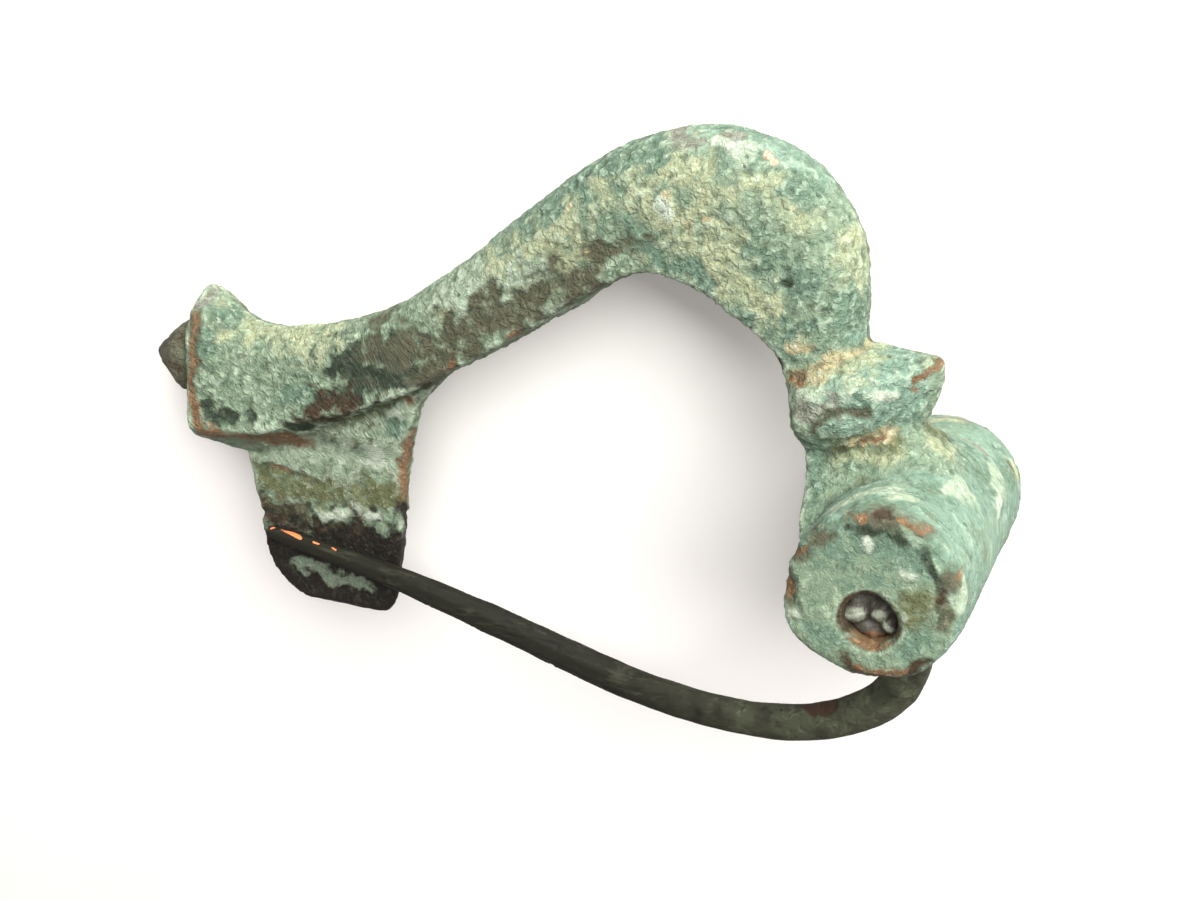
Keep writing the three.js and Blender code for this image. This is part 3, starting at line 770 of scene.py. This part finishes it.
# %% Keep two more marks and place the casting
COLLAR_MIDDLE = (-2, 7)
COLLAR_REACH = (1.6, 3.4)
BOW_TOP_FACING = (0.3, 0.8)
BOW_RISE = (5, 14)
WRINKLE_WAY = np.array((0.75, 0.0, -0.66))
WRINKLE_STRETCH = 0.3

from_collar = np.hypot(cast[:, 0] - COLLAR_MIDDLE[0], cast[:, 2] - COLLAR_MIDDLE[1])
sea = np.maximum(on_barrel, fade(from_collar, *COLLAR_REACH)) * (1 - 0.9 * end_face)
sea = np.maximum(sea, 0.7 * ramp(facing[:, 2], *BOW_TOP_FACING) * ramp(cast[:, 2], *BOW_RISE))
coarse = 1 + 0.3 * on_foot - 0.5 * on_barrel - 0.3 * on_plate - 0.4 * working
weave = cast - WRINKLE_STRETCH * on_foot[:, None] * np.outer(cast @ WRINKLE_WAY, WRINKLE_WAY)
keep(casting_mesh, fields)
keep(casting_mesh, {"place": cast, "weave": weave, "streak": round_barrel, "proud": fine})
keep(casting_mesh, {"crease": -wide, "sea": sea, "coarse": coarse})
casting = settle("crusted_casting", casting_mesh, carved)
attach(casting, "brooch")
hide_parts("brooch_casting")
print("marks on the casting:", len(casting_mesh.attributes))

# %% [markdown]
# ## Building blocks for the finishes
#
# The casting, the pin and the axle are all corroded metal, and their finishes share four effects: tones
# that blend in blotches, a patch with a ragged edge, the fine relief of crust, and pinholes. Copying
# the nodes into each material would work, but a change would then be made three times. So each effect
# is a shader node group with named inputs, built once. Sizes are in millimetres, because every group
# reads its place from the marks on the points.

# %% Make nodes with less typing


def plug(tree, socket, value):
    """Links a socket to another one, or sets it."""
    if isinstance(value, bpy.types.NodeSocket):
        tree.links.new(value, socket)
    else:
        socket.default_value = value


def add(tree, kind, inputs=(), **switches):
    """Adds a shader node, turns its switches, and fills its inputs by name or number."""
    made = tree.nodes.new("ShaderNode" + kind)
    for name, value in switches.items():
        setattr(made, name, value)
    for name, value in dict(inputs).items():
        plug(tree, made.inputs[name], value)
    return made


def reckon(tree, operation, one, other=0.0):
    """One step of arithmetic."""
    return add(tree, "Math", {0: one, 1: other}, operation=operation).outputs[0]


def plus(tree, one, other):
    """Two values added."""
    return reckon(tree, "ADD", one, other)


def minus(tree, one, other):
    """The second value taken from the first."""
    return reckon(tree, "SUBTRACT", one, other)


def times(tree, one, other):
    """Two values multiplied."""
    return reckon(tree, "MULTIPLY", one, other)


def over(tree, share, below, above):
    """One colour laid over another, by a share."""
    return add(tree, "Mix", {0: share, 6: below, 7: above}, data_type="RGBA").outputs[2]


def between(tree, value, low, high):
    """0 below low and 1 above high, eased."""
    inputs = {"Value": value, "From Min": low, "From Max": high}
    return add(tree, "MapRange", inputs, interpolation_type="SMOOTHSTEP").outputs["Result"]


def noise(tree, place, size, detail=5.0, roughness=0.6, distortion=0.0):
    """Noise whose lumps have a size in millimetres."""
    scale = reckon(tree, "DIVIDE", 1.0, size)
    inputs = {"Vector": place, "Scale": scale, "Detail": detail, "Roughness": roughness,
              "Distortion": distortion}
    return add(tree, "TexNoise", inputs).outputs["Fac"]


def group(name, takes, gives):
    """An empty node group with its sockets, its input's outputs and its output's inputs."""
    tree = bpy.data.node_groups.new(name, "ShaderNodeTree")
    for label, kind, value in takes:
        made = tree.interface.new_socket(label, in_out="INPUT", socket_type="NodeSocket" + kind)
        if value is not None:
            made.default_value = value
    for label, kind in gives:
        tree.interface.new_socket(label, in_out="OUTPUT", socket_type="NodeSocket" + kind)
    return tree, tree.nodes.new("NodeGroupInput").outputs, tree.nodes.new("NodeGroupOutput").inputs


# %% [markdown]
# ### Three tones in blotches
#
# No layer of an old crust is all one colour. A Color Ramp over a single noise would do, but its light
# tone would always lie as far from the dark one as it can. Two noises are used instead, one for each,
# so that light and dark meet and cover one another as stains do.

# %% Group: three tones in blotches
GREY = (0.5, 0.5, 0.5, 1)
BLOTCH_EDGE = 0.16
BLOTCH_NOISE = (7.0, 0.68, 0.7)
ELSEWHERE = (31.0, 17.0, 5.0)
tree, given, out = group(
    "three_tones",
    (("Place", "Vector", None), ("Size", "Float", 1.0), ("Middle", "Color", GREY),
     ("Light", "Color", GREY), ("Dark", "Color", GREY), ("Light From", "Float", 0.52),
     ("Dark From", "Float", 0.52)),
    (("Color", "Color"),),
)
tones = tree
high = noise(tree, given["Place"], given["Size"], *BLOTCH_NOISE)
moved = add(tree, "VectorMath", {0: given["Place"], 1: ELSEWHERE}, operation="ADD").outputs[0]
low = noise(tree, moved, times(tree, given["Size"], 0.7), *BLOTCH_NOISE)
light = between(tree, high, given["Light From"], plus(tree, given["Light From"], BLOTCH_EDGE))
dark = between(tree, low, given["Dark From"], plus(tree, given["Dark From"], BLOTCH_EDGE))
lit = over(tree, light, given["Middle"], given["Light"])
plug(tree, out["Color"], over(tree, dark, lit, given["Dark"]))

# %% [markdown]
# ### A patch with a ragged edge
#
# A patch's field is known only at the points, so its edge can't be finer than the skin's quads. A finer
# skin would cost memory. Here a fine noise is added to the field, which moves its edge in and out by
# the width of single flakes.

# %% Group: a patch with a ragged edge
tree, given, out = group(
    "ragged_patch",
    (("Place", "Vector", None), ("Field", "Float", 0.0), ("Size", "Float", 0.3),
     ("Raggedness", "Float", 0.5), ("Softness", "Float", 0.08)),
    (("Mask", "Float"),),
)
ragged_patch = tree
cloud = noise(tree, given["Place"], given["Size"], 6.0, 0.7)
uneven = times(tree, minus(tree, cloud, 0.5), given["Raggedness"])
level = plus(tree, given["Field"], uneven)
edge_low = minus(tree, 0.5, given["Softness"])
edge_high = plus(tree, 0.5, given["Softness"])
plug(tree, out["Mask"], between(tree, level, edge_low, edge_high))

# %% [markdown]
# ### The fine relief of crust
#
# Close up, the crust is rounded grains with thin raised veins between them. The skin carries what is
# wider than about half a millimetre. To carve the rest would take millions of points, so it is a height
# for a Bump node: lumps of noise, domes from Voronoi cells, and veins where a folded noise crosses its
# middle. The group also tells ridges from hollows, which the pale rub with its painted highlight and the
# painted shade in the hollows need.

# %% Group: the fine relief of crust
RIDGE = (0.56, 0.80)
HOLLOW = (0.30, 0.50)
DOME_WIDTH = 0.28
DOME_HEIGHT = 0.34
VEIN_WIDTH = 0.07
VEIN_HEIGHT = 0.26
tree, given, out = group(
    "crust_relief",
    (("Place", "Vector", None), ("Size", "Float", 0.3), ("Veins", "Float", 0.5),
     ("Cells", "Float", 0.5)),
    (("Height", "Float"), ("Ridge", "Float"), ("Hollow", "Float")),
)
crust_relief = tree
place = given["Place"]
size = given["Size"]
drift_scale = reckon(tree, "DIVIDE", 1.1, size)
drift = add(tree, "TexNoise", {"Vector": place, "Scale": drift_scale, "Detail": 3.0})
drift_way = {0: drift.outputs["Color"], "Scale": times(tree, size, 2.2)}
drift = add(tree, "VectorMath", drift_way, operation="SCALE").outputs[0]
drifted = add(tree, "VectorMath", {0: place, 1: drift}, operation="ADD").outputs[0]
lumps = noise(tree, place, size, 7.0, 0.66, 0.4)
cell_scale = reckon(tree, "DIVIDE", 0.75, size)
cells = add(tree, "TexVoronoi", {"Vector": drifted, "Scale": cell_scale}, feature="DISTANCE_TO_EDGE")
dome = between(tree, cells.outputs["Distance"], 0.0, DOME_WIDTH)
dome = times(tree, minus(tree, dome, 0.6), given["Cells"])
folded = noise(tree, drifted, times(tree, size, 1.2), 3.0, 0.5, 1.2)
folded = reckon(tree, "ABSOLUTE", minus(tree, folded, 0.5))
vein = minus(tree, 1.0, between(tree, folded, 0.0, VEIN_WIDTH))
vein = times(tree, vein, given["Veins"])
raised = plus(tree, lumps, times(tree, dome, DOME_HEIGHT))
raised = plus(tree, raised, times(tree, vein, VEIN_HEIGHT))
plug(tree, out["Height"], raised)
plug(tree, out["Ridge"], between(tree, raised, *RIDGE))
filled = between(tree, raised, *HOLLOW)
plug(tree, out["Hollow"], minus(tree, 1.0, filled))

# %% [markdown]
# ### Pinholes
#
# Where single grains fell out of the crust, small round holes are left. Cutting them would be exact but
# slow, and a noise gives blots, not holes. A Voronoi texture has one middle to each cell, so a hole is
# put in the middle of some cells, each with a width of its own.

# %% Group: pinholes
LEAST_HOLE = 0.4
tree, given, out = group(
    "pinholes",
    (("Place", "Vector", None), ("Size", "Float", 0.6), ("Radius", "Float", 0.12),
     ("Share", "Float", 0.3)),
    (("Mask", "Float"),),
)
pinholes = tree
hole_scale = reckon(tree, "DIVIDE", 1.0, given["Size"])
cells = add(tree, "TexVoronoi", {"Vector": given["Place"], "Scale": hole_scale})
chosen = add(tree, "SeparateColor", {0: cells.outputs["Color"]}).outputs
wide_hole = times(tree, given["Radius"], plus(tree, chosen[1], LEAST_HOLE))
narrow_hole = times(tree, wide_hole, 0.4)
outside = between(tree, cells.outputs["Distance"], narrow_hole, wide_hole)
kept = reckon(tree, "LESS_THAN", chosen[0], given["Share"])
plug(tree, out["Mask"], times(tree, minus(tree, 1.0, outside), kept))
print("groups:", sorted(made.name for made in bpy.data.node_groups))

# %% [markdown]
# ## From the marks to a material
#
# Every finish starts the same way: an empty material, the place and the patches read from the points,
# and the groups put in with their own values. Each step is a function here, so that the finishes below
# read as a list of what lies on the bronze, from the metal outwards.

# %% Use a group or a mark in a material


def use(tree, made, **inputs):
    """A node group placed in a material, with its own values."""
    placed = tree.nodes.new("ShaderNodeGroup")
    placed.node_tree = made
    for name, value in inputs.items():
        plug(tree, placed.inputs[name.replace("_", " ")], value)
    return placed.outputs


def mark(tree, name, output="Fac"):
    """A value that is kept on the points."""
    return add(tree, "Attribute", attribute_name=name).outputs[output]


def new_finish(name):
    """An empty material: its tree and its Principled shader."""
    made = bpy.data.materials.new(name)
    made.use_nodes = True
    return made, made.node_tree, made.node_tree.nodes["Principled BSDF"].inputs


def tinted(*linear):
    """A colour, as red, green and blue shares of the light it returns."""
    return (*linear, 1)


def toned(tree, place, size, middle, light, dark, tone_from=0.52):
    """Three tones of one layer."""
    return use(tree, tones, Place=place, Size=size, Middle=tinted(*middle), Light=tinted(*light),
               Dark=tinted(*dark), Light_From=tone_from, Dark_From=tone_from)["Color"]


def edged(tree, place, field, size, raggedness, softness):
    """The mask of a patch with a ragged edge."""
    return use(tree, ragged_patch, Place=place, Field=field, Size=size, Raggedness=raggedness,
               Softness=softness)["Mask"]


def stand_out(tree, shader, height, depth, strength=1.0):
    """Fine relief, as deep as its millimetres say."""
    inputs = {"Strength": strength, "Distance": depth * MM, "Height": height}
    plug(tree, shader["Normal"], add(tree, "Bump", inputs).outputs["Normal"])


def coat(mesh, finish):
    """Gives a piece its finish, and nothing else."""
    mesh.materials.clear()
    mesh.materials.append(finish)


# %% [markdown]
# ## The casting's finish
#
# The order follows how the real surface grew. Green crust comes first, more olive on the bow and more
# like the sea on the head and collar. On it lie teal and pale patches, cream lime and chalk, and soil
# in the creases. Where the crust is gone the brown or black skin of the bronze shows, on the lips and
# arrises it is worn to a warm brown, and at the freshest scratches the metal shines. Each layer has
# three tones of its own, so none of them is flat.

# %% Mix the casting's colours
LAYERS = (
    # kind, middle, light, dark, blotch mm, raggedness, softness, roughness
    ("cream", (0.285, 0.315, 0.192), (0.45, 0.47, 0.305), (0.155, 0.205, 0.122), 0.35, 1.0, 0.4, 0.9),
    ("teal", (0.108, 0.172, 0.120), (0.20, 0.290, 0.210), (0.048, 0.090, 0.060), 0.4, 0.9, 0.4, 0.8),
    ("pale", (0.265, 0.330, 0.240), (0.41, 0.49, 0.375), (0.155, 0.215, 0.150), 0.45, 0.6, 0.2, 0.85),
    ("murk", (0.024, 0.037, 0.022), (0.062, 0.086, 0.054), (0.010, 0.014, 0.008), 0.35, 0.9, 0.24, 0.7),
    ("mauve", (0.19, 0.20, 0.158), (0.28, 0.29, 0.235), (0.105, 0.102, 0.075), 0.3, 0.8, 0.24, 0.85),
    ("oxide", (0.078, 0.079, 0.049), (0.145, 0.152, 0.098), (0.048, 0.041, 0.023), 0.4, 0.7, 0.34, 0.75),
    ("brown", (0.040, 0.027, 0.014), (0.075, 0.058, 0.034), (0.018, 0.012, 0.006), 0.3, 0.7, 0.3, 0.7),
    ("black", (0.009, 0.0065, 0.0045), (0.033, 0.027, 0.018), (0.005, 0.004, 0.003),
     0.7, 0.6, 0.26, 0.6),
    ("regrown", (0.13, 0.165, 0.118), (0.22, 0.27, 0.20), (0.07, 0.09, 0.062), 0.3, 0.7, 0.16, 0.85),
    ("chalk", (0.36, 0.41, 0.33), (0.53, 0.57, 0.47), (0.24, 0.29, 0.22), 0.3, 0.8, 0.28, 0.9),
    ("soil", (0.098, 0.108, 0.050), (0.18, 0.187, 0.098), (0.045, 0.050, 0.023), 0.3, 1.0, 0.42, 0.9),
    ("ochre", (0.33, 0.29, 0.165), (0.46, 0.43, 0.28), (0.19, 0.135, 0.065), 0.3, 1.0, 0.34, 0.9),
    ("ember", (0.160, 0.092, 0.044), (0.34, 0.215, 0.120), (0.080, 0.044, 0.020), 0.2, 1.0, 0.34, 0.6),
    ("bare", (0.80, 0.50, 0.36), (0.95, 0.80, 0.68), (0.50, 0.22, 0.12), 0.2, 0.2, 0.2, 0.3),
)
CRUST_RELIEF = 0.42
CRUST_EDGES = 0.32
OLIVE = ((0.165, 0.225, 0.150), (0.275, 0.345, 0.240), (0.084, 0.132, 0.086))
SEA = ((0.155, 0.240, 0.180), (0.24, 0.335, 0.262), (0.098, 0.162, 0.118))

crusted, tree, shader = new_finish("green_crust")
place = mark(tree, "place", "Vector")
weave = mark(tree, "weave", "Vector")
coarse = mark(tree, "coarse")
relief = use(tree, crust_relief, Place=weave, Size=CRUST_RELIEF, Veins=times(tree, coarse, 0.95),
             Cells=times(tree, coarse, 1.2))
holes = use(tree, pinholes, Place=place, Size=0.7, Radius=0.16, Share=0.10)["Mask"]
by_sea = edged(tree, place, mark(tree, "sea"), 0.8, 0.8, 0.3)
on_bow = toned(tree, place, 0.9, *OLIVE)
on_head = toned(tree, mark(tree, "streak", "Vector"), 0.7, *SEA, 0.49)
colour = over(tree, by_sea, on_bow, on_head)
roughness = 0.8
masks = {}
for kind, middle, light, dark, size, raggedness, softness, dull in LAYERS:
    field = mark(tree, kind)
    if kind == "soil":
        field = reckon(tree, "MAXIMUM", field, times(tree, mark(tree, "crease"), 0.8))
    masks[kind] = edged(tree, place, field, CRUST_EDGES, raggedness, softness)
    colour = over(tree, masks[kind], colour, toned(tree, place, size, middle, light, dark))
    roughness = add(tree, "Mix", {0: masks[kind], 2: roughness, 3: dull}).outputs[0]
print("layers on the green:", len(masks))

# %% [markdown]
# ## Worn ridges with painted highlight, painted shade in the hollows
#
# Handling has worn the crust pale on what stands out. The same pale rub also stands in for the light
# that catches those edges, so it is partly wear and partly painted highlight. It could be painted on,
# but the marks know what is proud and the relief group knows its ridges, so the two are added and a pale
# rub goes over them. Where the crust is gone the rub is brown and weaker, because there is no pale crust
# to rub. A dark fill goes into the hollows and the pinholes, and it is painted shade. The relief itself
# is the last step, as a bump of about a tenth of a millimetre.

# %% Rub the high places pale with a painted highlight, and paint shade into the low ones
# The pale and the brown rub are partly wear and partly painted highlight on what stands out; the dark
# fill after them is painted shade in the hollows and pinholes.
PALE_RUB_AND_HIGHLIGHT = tinted(0.42, 0.51, 0.385)
BROWN_RUB_AND_HIGHLIGHT = tinted(0.16, 0.145, 0.105)
HOLLOW_SHADE = tinted(0.045, 0.068, 0.046)
NOT_PALE = ("oxide", "brown", "murk", "ember", "black")
NEAR_PATCH = (0.15, 0.45)
STANDING = (0.35, 1.7)
SUNKEN = (0.5, 1.9)
CRUST_DEPTH = 0.115

proud = mark(tree, "proud")
raised = plus(tree, times(tree, proud, 0.7), times(tree, relief["Ridge"], 0.9))
standing = between(tree, raised, *STANDING)
sunken = between(tree, minus(tree, relief["Hollow"], times(tree, proud, 0.8)), *SUNKEN)
bared = 0.0
for kind in NOT_PALE:
    bared = reckon(tree, "MAXIMUM", bared, between(tree, mark(tree, kind), *NEAR_PATCH))
# The rub on proud places and ridges: partly wear, partly painted highlight.
rub_and_highlight = times(tree, standing, minus(tree, 0.5, times(tree, bared, 0.3)))
rub_and_highlight = times(tree, rub_and_highlight, minus(tree, 1.0, masks["black"]))
colour = over(tree, rub_and_highlight, colour, over(tree, bared, PALE_RUB_AND_HIGHLIGHT, BROWN_RUB_AND_HIGHLIGHT))
# Painted shade: the fine hollows and the pinholes are darkened.
colour = over(tree, times(tree, sunken, 0.55), colour, HOLLOW_SHADE)
colour = over(tree, times(tree, holes, 0.7), colour, HOLLOW_SHADE)
plug(tree, shader["Base Color"], colour)
plug(tree, shader["Roughness"], roughness)
plug(tree, shader["Metallic"], times(tree, masks["bare"], 0.5))
shader["Specular IOR Level"].default_value = 0.25
stand_out(tree, shader, minus(tree, relief["Height"], times(tree, holes, 0.4)), CRUST_DEPTH)
coat(casting_mesh, crusted)
print("nodes in the green crust:", len(tree.nodes))

# %% [markdown]
# ## The pin
#
# The pin is a bent strip with its corners hammered off. Its solid turns the bend in a few flat steps,
# which a smith's hammer would have evened out. Bending a straight strip along a curve would do it, but
# its eye has to stay where the solid has it. So the bend alone is evened out in the skin, and filled
# again by as much as the evening draws it in.

# %% Wrap the pin in a skin and even out its bend
PIN_CELL = 0.085
BEND_PASSES = 90
BEND_FILL = 0.08
BEND_FROM_EYE = (3.2, 4.4)
BEND_END = (12, 16)

pin_mesh, pin_edges, forged = even_skin("pin", PIN_CELL, 1)
from_eye = np.hypot(forged[:, 0] - AXLE_OFF_CENTRE[0], forged[:, 2] - AXLE_OFF_CENTRE[2])
in_bend = ramp(from_eye, *BEND_FROM_EYE) * fade(-forged[:, 0], *BEND_END)
forged += in_bend[:, None] * (spread(forged, pin_edges, BEND_PASSES) - forged)
put(pin_mesh, forged)
pin_facing = read(pin_mesh, "normal")
print("pin's skin:", len(forged), "points,", int((in_bend > 0.5).sum()), "of them in the bend")

# %% [markdown]
# ## The pin's marks
#
# The pin was forged and filed, and it has hardly any crust: faint hammer waves, file marks along it and
# a few pits. Small flakes are missing from its upper edge, and bright copper shows in a broken scratch
# along the top of its tip. A second, finer skin could be cut out for them, but they are lines with a
# width, as on the casting. Towards the head a lighter olive film lies on it. The eye isn't carved,
# because it turns on the axle.

# %% Carve and place the pin
PIN_PATCHES = {
    "bare": [
        (0.05, (-33.7, -4.84), (-33.4, -4.74), (-32.5, -4.88), (-31.7, -5.04)),
        (0.035, (-31.0, -5.10), (-30.6, -5.16)),
        (0.035, (-29.8, -5.22), (-29.5, -5.30)),
    ],
    "oxide": [
        (0.2, (-4.6, -9.35), (-3.9, -9.4)),
        (0.22, (-3.5, -9.2), (-2.9, -8.95)),
        (0.14, (-15.5, -7.1), (-14.6, -7.2)),
    ],
}
PIN_FACING = (-0.45, 0.0)
PIN_RAGGED = 0.12
EYE_REACH = (2.2, 2.8)
HAMMER_WAVES = 0.035
FILE_MARKS = 0.014
FILE_WAY = np.array((0.22, 1, 1))
PIN_PITS = 160
PIN_PIT_RADIUS = (0.07, 0.26)
PIN_PIT_DEPTH = 0.22
PIN_FLAKE = {"oxide": -0.08, "bare": -0.02}
PIN_FLAKE_EDGE = (0.4, 0.6)
PIN_PASSES = 12
FILM_FROM = (6, 14)

pin_ragged = shifted(forged, 500, PIN_RAGGED)
pin_near = ramp(-pin_facing[:, 1], *PIN_FACING)
pin_height = HAMMER_WAVES * layered(forged, 2.2, 511, 2)
pin_height += FILE_MARKS * layered(forged * FILE_WAY, 0.4, 521)
pin_height += PIN_PIT_DEPTH * pitted(forged, PIN_PITS, PIN_PIT_RADIUS, 531)
pin_height += BEND_FILL * in_bend
for kind, lines in PIN_PATCHES.items():
    field = patches(pin_ragged, lines, NEAR_PLANE, pin_near, 505)
    keep(pin_mesh, {kind: field})
    pin_height += PIN_FLAKE[kind] * ramp(field, *PIN_FLAKE_EDGE)
shaped = forged + pin_facing * (pin_height * ramp(from_eye, *EYE_REACH))[:, None]
pin_fine = proud_of(shaped, pin_facing, pin_edges, PIN_PASSES, FINE_STEP)
film = fade(-forged[:, 0], *FILM_FROM) * np.clip(0.75 + 0.6 * layered(forged, 1.0, 541), 0, 1)
keep(pin_mesh, {"place": forged, "proud": pin_fine, "film": film})
pin = settle("bent_pin", pin_mesh, shaped)
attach(pin, "pin")
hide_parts("pin")
print("pin's proud 5-95%:", np.percentile(pin_fine, (5, 95)).round(2))

# %% [markdown]
# ## The pin's finish
#
# The pin has kept a thin, dense skin, nearly black with an olive cast. A high Metallic value would make
# it look new. It has none, and only a weak shine, since its skin is no longer metal. The tones are drawn
# out along the pin, as its file marks are, and only the scratch is a little metallic.

# %% Finish the pin
PIN_TONES = ((0.013, 0.013, 0.0085), (0.032, 0.033, 0.022), (0.006, 0.0055, 0.004))
FILM_TONES = ((0.050, 0.054, 0.034), (0.090, 0.096, 0.064), (0.026, 0.027, 0.017))
PIN_RUB_AND_HIGHLIGHT = tinted(0.065, 0.068, 0.050)
PIN_HOLLOW_SHADE = tinted(0.009, 0.008, 0.006)
PIN_CHIP = tinted(0.038, 0.022, 0.014)
PIN_COPPER = tinted(0.85, 0.25, 0.10)
PIN_RUB_FROM = (0.6, 2.4)
PIN_DEPTH = 0.03
DRAWN_OUT = (0.2, 1.0, 1.0)

worked, tree, shader = new_finish("dark_olive_bronze")
place = mark(tree, "place", "Vector")
drawn = add(tree, "VectorMath", {0: place, 1: DRAWN_OUT}, operation="MULTIPLY").outputs[0]
relief = use(tree, crust_relief, Place=drawn, Size=0.2, Veins=0.1, Cells=0.1)
holes = use(tree, pinholes, Place=place, Size=0.8, Radius=0.1, Share=0.3)["Mask"]
chipped = edged(tree, place, mark(tree, "oxide"), 0.2, 0.7, 0.1)
scratched = edged(tree, place, mark(tree, "bare"), 0.12, 0.15, 0.12)
colour = toned(tree, drawn, 0.5, *PIN_TONES)
colour = over(tree, mark(tree, "film"), colour, toned(tree, place, 0.6, *FILM_TONES))
# Partly wear and partly painted highlight: the pin's proud points are lightened.
rub_and_highlight = between(tree, mark(tree, "proud"), *PIN_RUB_FROM)
colour = over(tree, times(tree, rub_and_highlight, 0.3), colour, PIN_RUB_AND_HIGHLIGHT)
# Painted shade: the pin's fine hollows and pinholes are darkened.
colour = over(tree, times(tree, relief["Hollow"], 0.35), colour, PIN_HOLLOW_SHADE)
colour = over(tree, holes, colour, PIN_HOLLOW_SHADE)
colour = over(tree, chipped, colour, PIN_CHIP)
colour = over(tree, scratched, colour, PIN_COPPER)
plug(tree, shader["Base Color"], colour)
plug(tree, shader["Roughness"], add(tree, "Mix", {0: relief["Hollow"], 2: 0.7, 3: 0.85}).outputs[0])
plug(tree, shader["Metallic"], times(tree, scratched, 0.3))
shader["Specular IOR Level"].default_value = 0.14
stand_out(tree, shader, minus(tree, relief["Height"], holes), PIN_DEPTH, 0.7)
coat(pin_mesh, worked)
print("nodes in the dark bronze:", len(tree.nodes))

# %% [markdown]
# ## The axle
#
# Only the end of the axle is seen, down in the head's hole, and it has rusted into lumps: two pale ones
# stand out of a dark crust, with orange-brown corrosion under them. Loose lumps could be set on it as
# spheres, but corrosion grows out of the metal. So its cylinder gets a skin, the lumps are raised on its
# near end, and its sides are only drawn in, so that it stays clear of the bore.

# %% Carve and place the axle
AXLE_CELL = 0.1
AXLE_KNOBS = ((-0.66, -1.12, 0.42), (0.22, -1.02, 0.44), (0.50, -1.50, 0.26))
KNOB_HEIGHT = 0.4
END_CRUST = 0.45
END_LUMPS = 0.24
SIDE_RUST = 0.08
AXLE_END_FACING = (0.4, 0.8)
RUST_BELOW = (1.6, 2.0)

axle_mesh, axle_edges, rod = even_skin("hinge_axle", AXLE_CELL, 2)
axle_facing = read(axle_mesh, "normal")
near_end = ramp(-axle_facing[:, 1], *AXLE_END_FACING)
knobs = np.zeros(len(rod))
for x, z, radius in AXLE_KNOBS:
    gap = np.hypot(rod[:, 0] - x, rod[:, 2] - z) / radius
    knobs = np.maximum(knobs, np.clip(1 - gap**2, 0, 1))
end_height = END_CRUST + END_LUMPS * layered(rod, 0.7, 711) + KNOB_HEIGHT * knobs
side_height = -SIDE_RUST * np.abs(layered(rod, 0.6, 721))
rusted = rod + axle_facing * (near_end * end_height + (1 - near_end) * side_height)[:, None]
axle_fine = proud_of(rusted, axle_facing, axle_edges, FINE_PASSES, FINE_STEP)
keep(axle_mesh, {"place": rod, "pale": near_end * np.clip(knobs * 1.1, 0, 1)})
keep(axle_mesh, {"ember": near_end * ramp(-rod[:, 2], *RUST_BELOW), "proud": axle_fine})
axle = settle("rusted_axle", axle_mesh, rusted)
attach(axle, "brooch")
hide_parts("hinge_axle")
print("axle's skin:", len(rod), "points")

# %% [markdown]
# ## The axle's finish
#
# The corrosion under the lumps is orange-brown, and it lies in the hole's shade, so it can be strong
# without showing from afar. The lumps take the pale tones of the crust. One noise could mix the three,
# but each has its own place, so two of them are masks over the dark one, as the casting's layers are.

# %% Finish the axle
RUST_TONES = ((0.045, 0.042, 0.030), (0.10, 0.10, 0.075), (0.016, 0.013, 0.009))
EMBER_TONES = ((0.13, 0.065, 0.030), (0.25, 0.13, 0.06), (0.05, 0.025, 0.012))
KNOB_TONES = ((0.18, 0.20, 0.15), (0.32, 0.35, 0.27), (0.07, 0.075, 0.055))
AXLE_HOLLOW_SHADE = tinted(0.02, 0.017, 0.012)
RUST_DEPTH = 0.05

rust, tree, shader = new_finish("rusted_axle_end")
place = mark(tree, "place", "Vector")
relief = use(tree, crust_relief, Place=place, Size=0.25, Veins=0.4, Cells=0.4)
holes = use(tree, pinholes, Place=place, Size=0.4, Radius=0.1, Share=0.4)["Mask"]
pale_knob = edged(tree, place, mark(tree, "pale"), 0.2, 0.5, 0.2)
rust_below = edged(tree, place, mark(tree, "ember"), 0.25, 0.6, 0.2)
colour = toned(tree, place, 0.4, *RUST_TONES)
colour = over(tree, rust_below, colour, toned(tree, place, 0.3, *EMBER_TONES))
colour = over(tree, pale_knob, colour, toned(tree, place, 0.3, *KNOB_TONES))
# Painted shade: the axle's fine hollows are darkened.
colour = over(tree, times(tree, relief["Hollow"], 0.6), colour, AXLE_HOLLOW_SHADE)
plug(tree, shader["Base Color"], colour)
plug(tree, shader["Roughness"], add(tree, "Mix", {0: relief["Hollow"], 2: 0.5, 3: 0.8}).outputs[0])
stand_out(tree, shader, minus(tree, relief["Height"], holes), RUST_DEPTH, 0.8)
coat(axle_mesh, rust)
print("nodes in the rust:", len(tree.nodes))

# %% [markdown]
# ## The paper
#
# White drawing paper isn't even: its fibres make it very slightly cloudy. A plain colour would do, but
# shadows look painted on it. So it takes the same kind of noise as the brooch, very faint.

# %% Finish the paper
PAPER_TONES = (tinted(0.93, 0.915, 0.89), tinted(0.96, 0.945, 0.92))
PAPER_CLOUD = 9.0

white, tree, shader = new_finish("white_paper")
in_metres = add(tree, "TexCoord").outputs["Object"]
place = add(tree, "VectorMath", {0: in_metres, "Scale": 1 / MM}, operation="SCALE").outputs[0]
clouds = noise(tree, place, PAPER_CLOUD)
plug(tree, shader["Base Color"], over(tree, clouds, *PAPER_TONES))
plug(tree, shader["Roughness"], between(tree, clouds, -1.0, 1.2))
coat(paper_mesh, white)
print("paper's finish:", white.name)
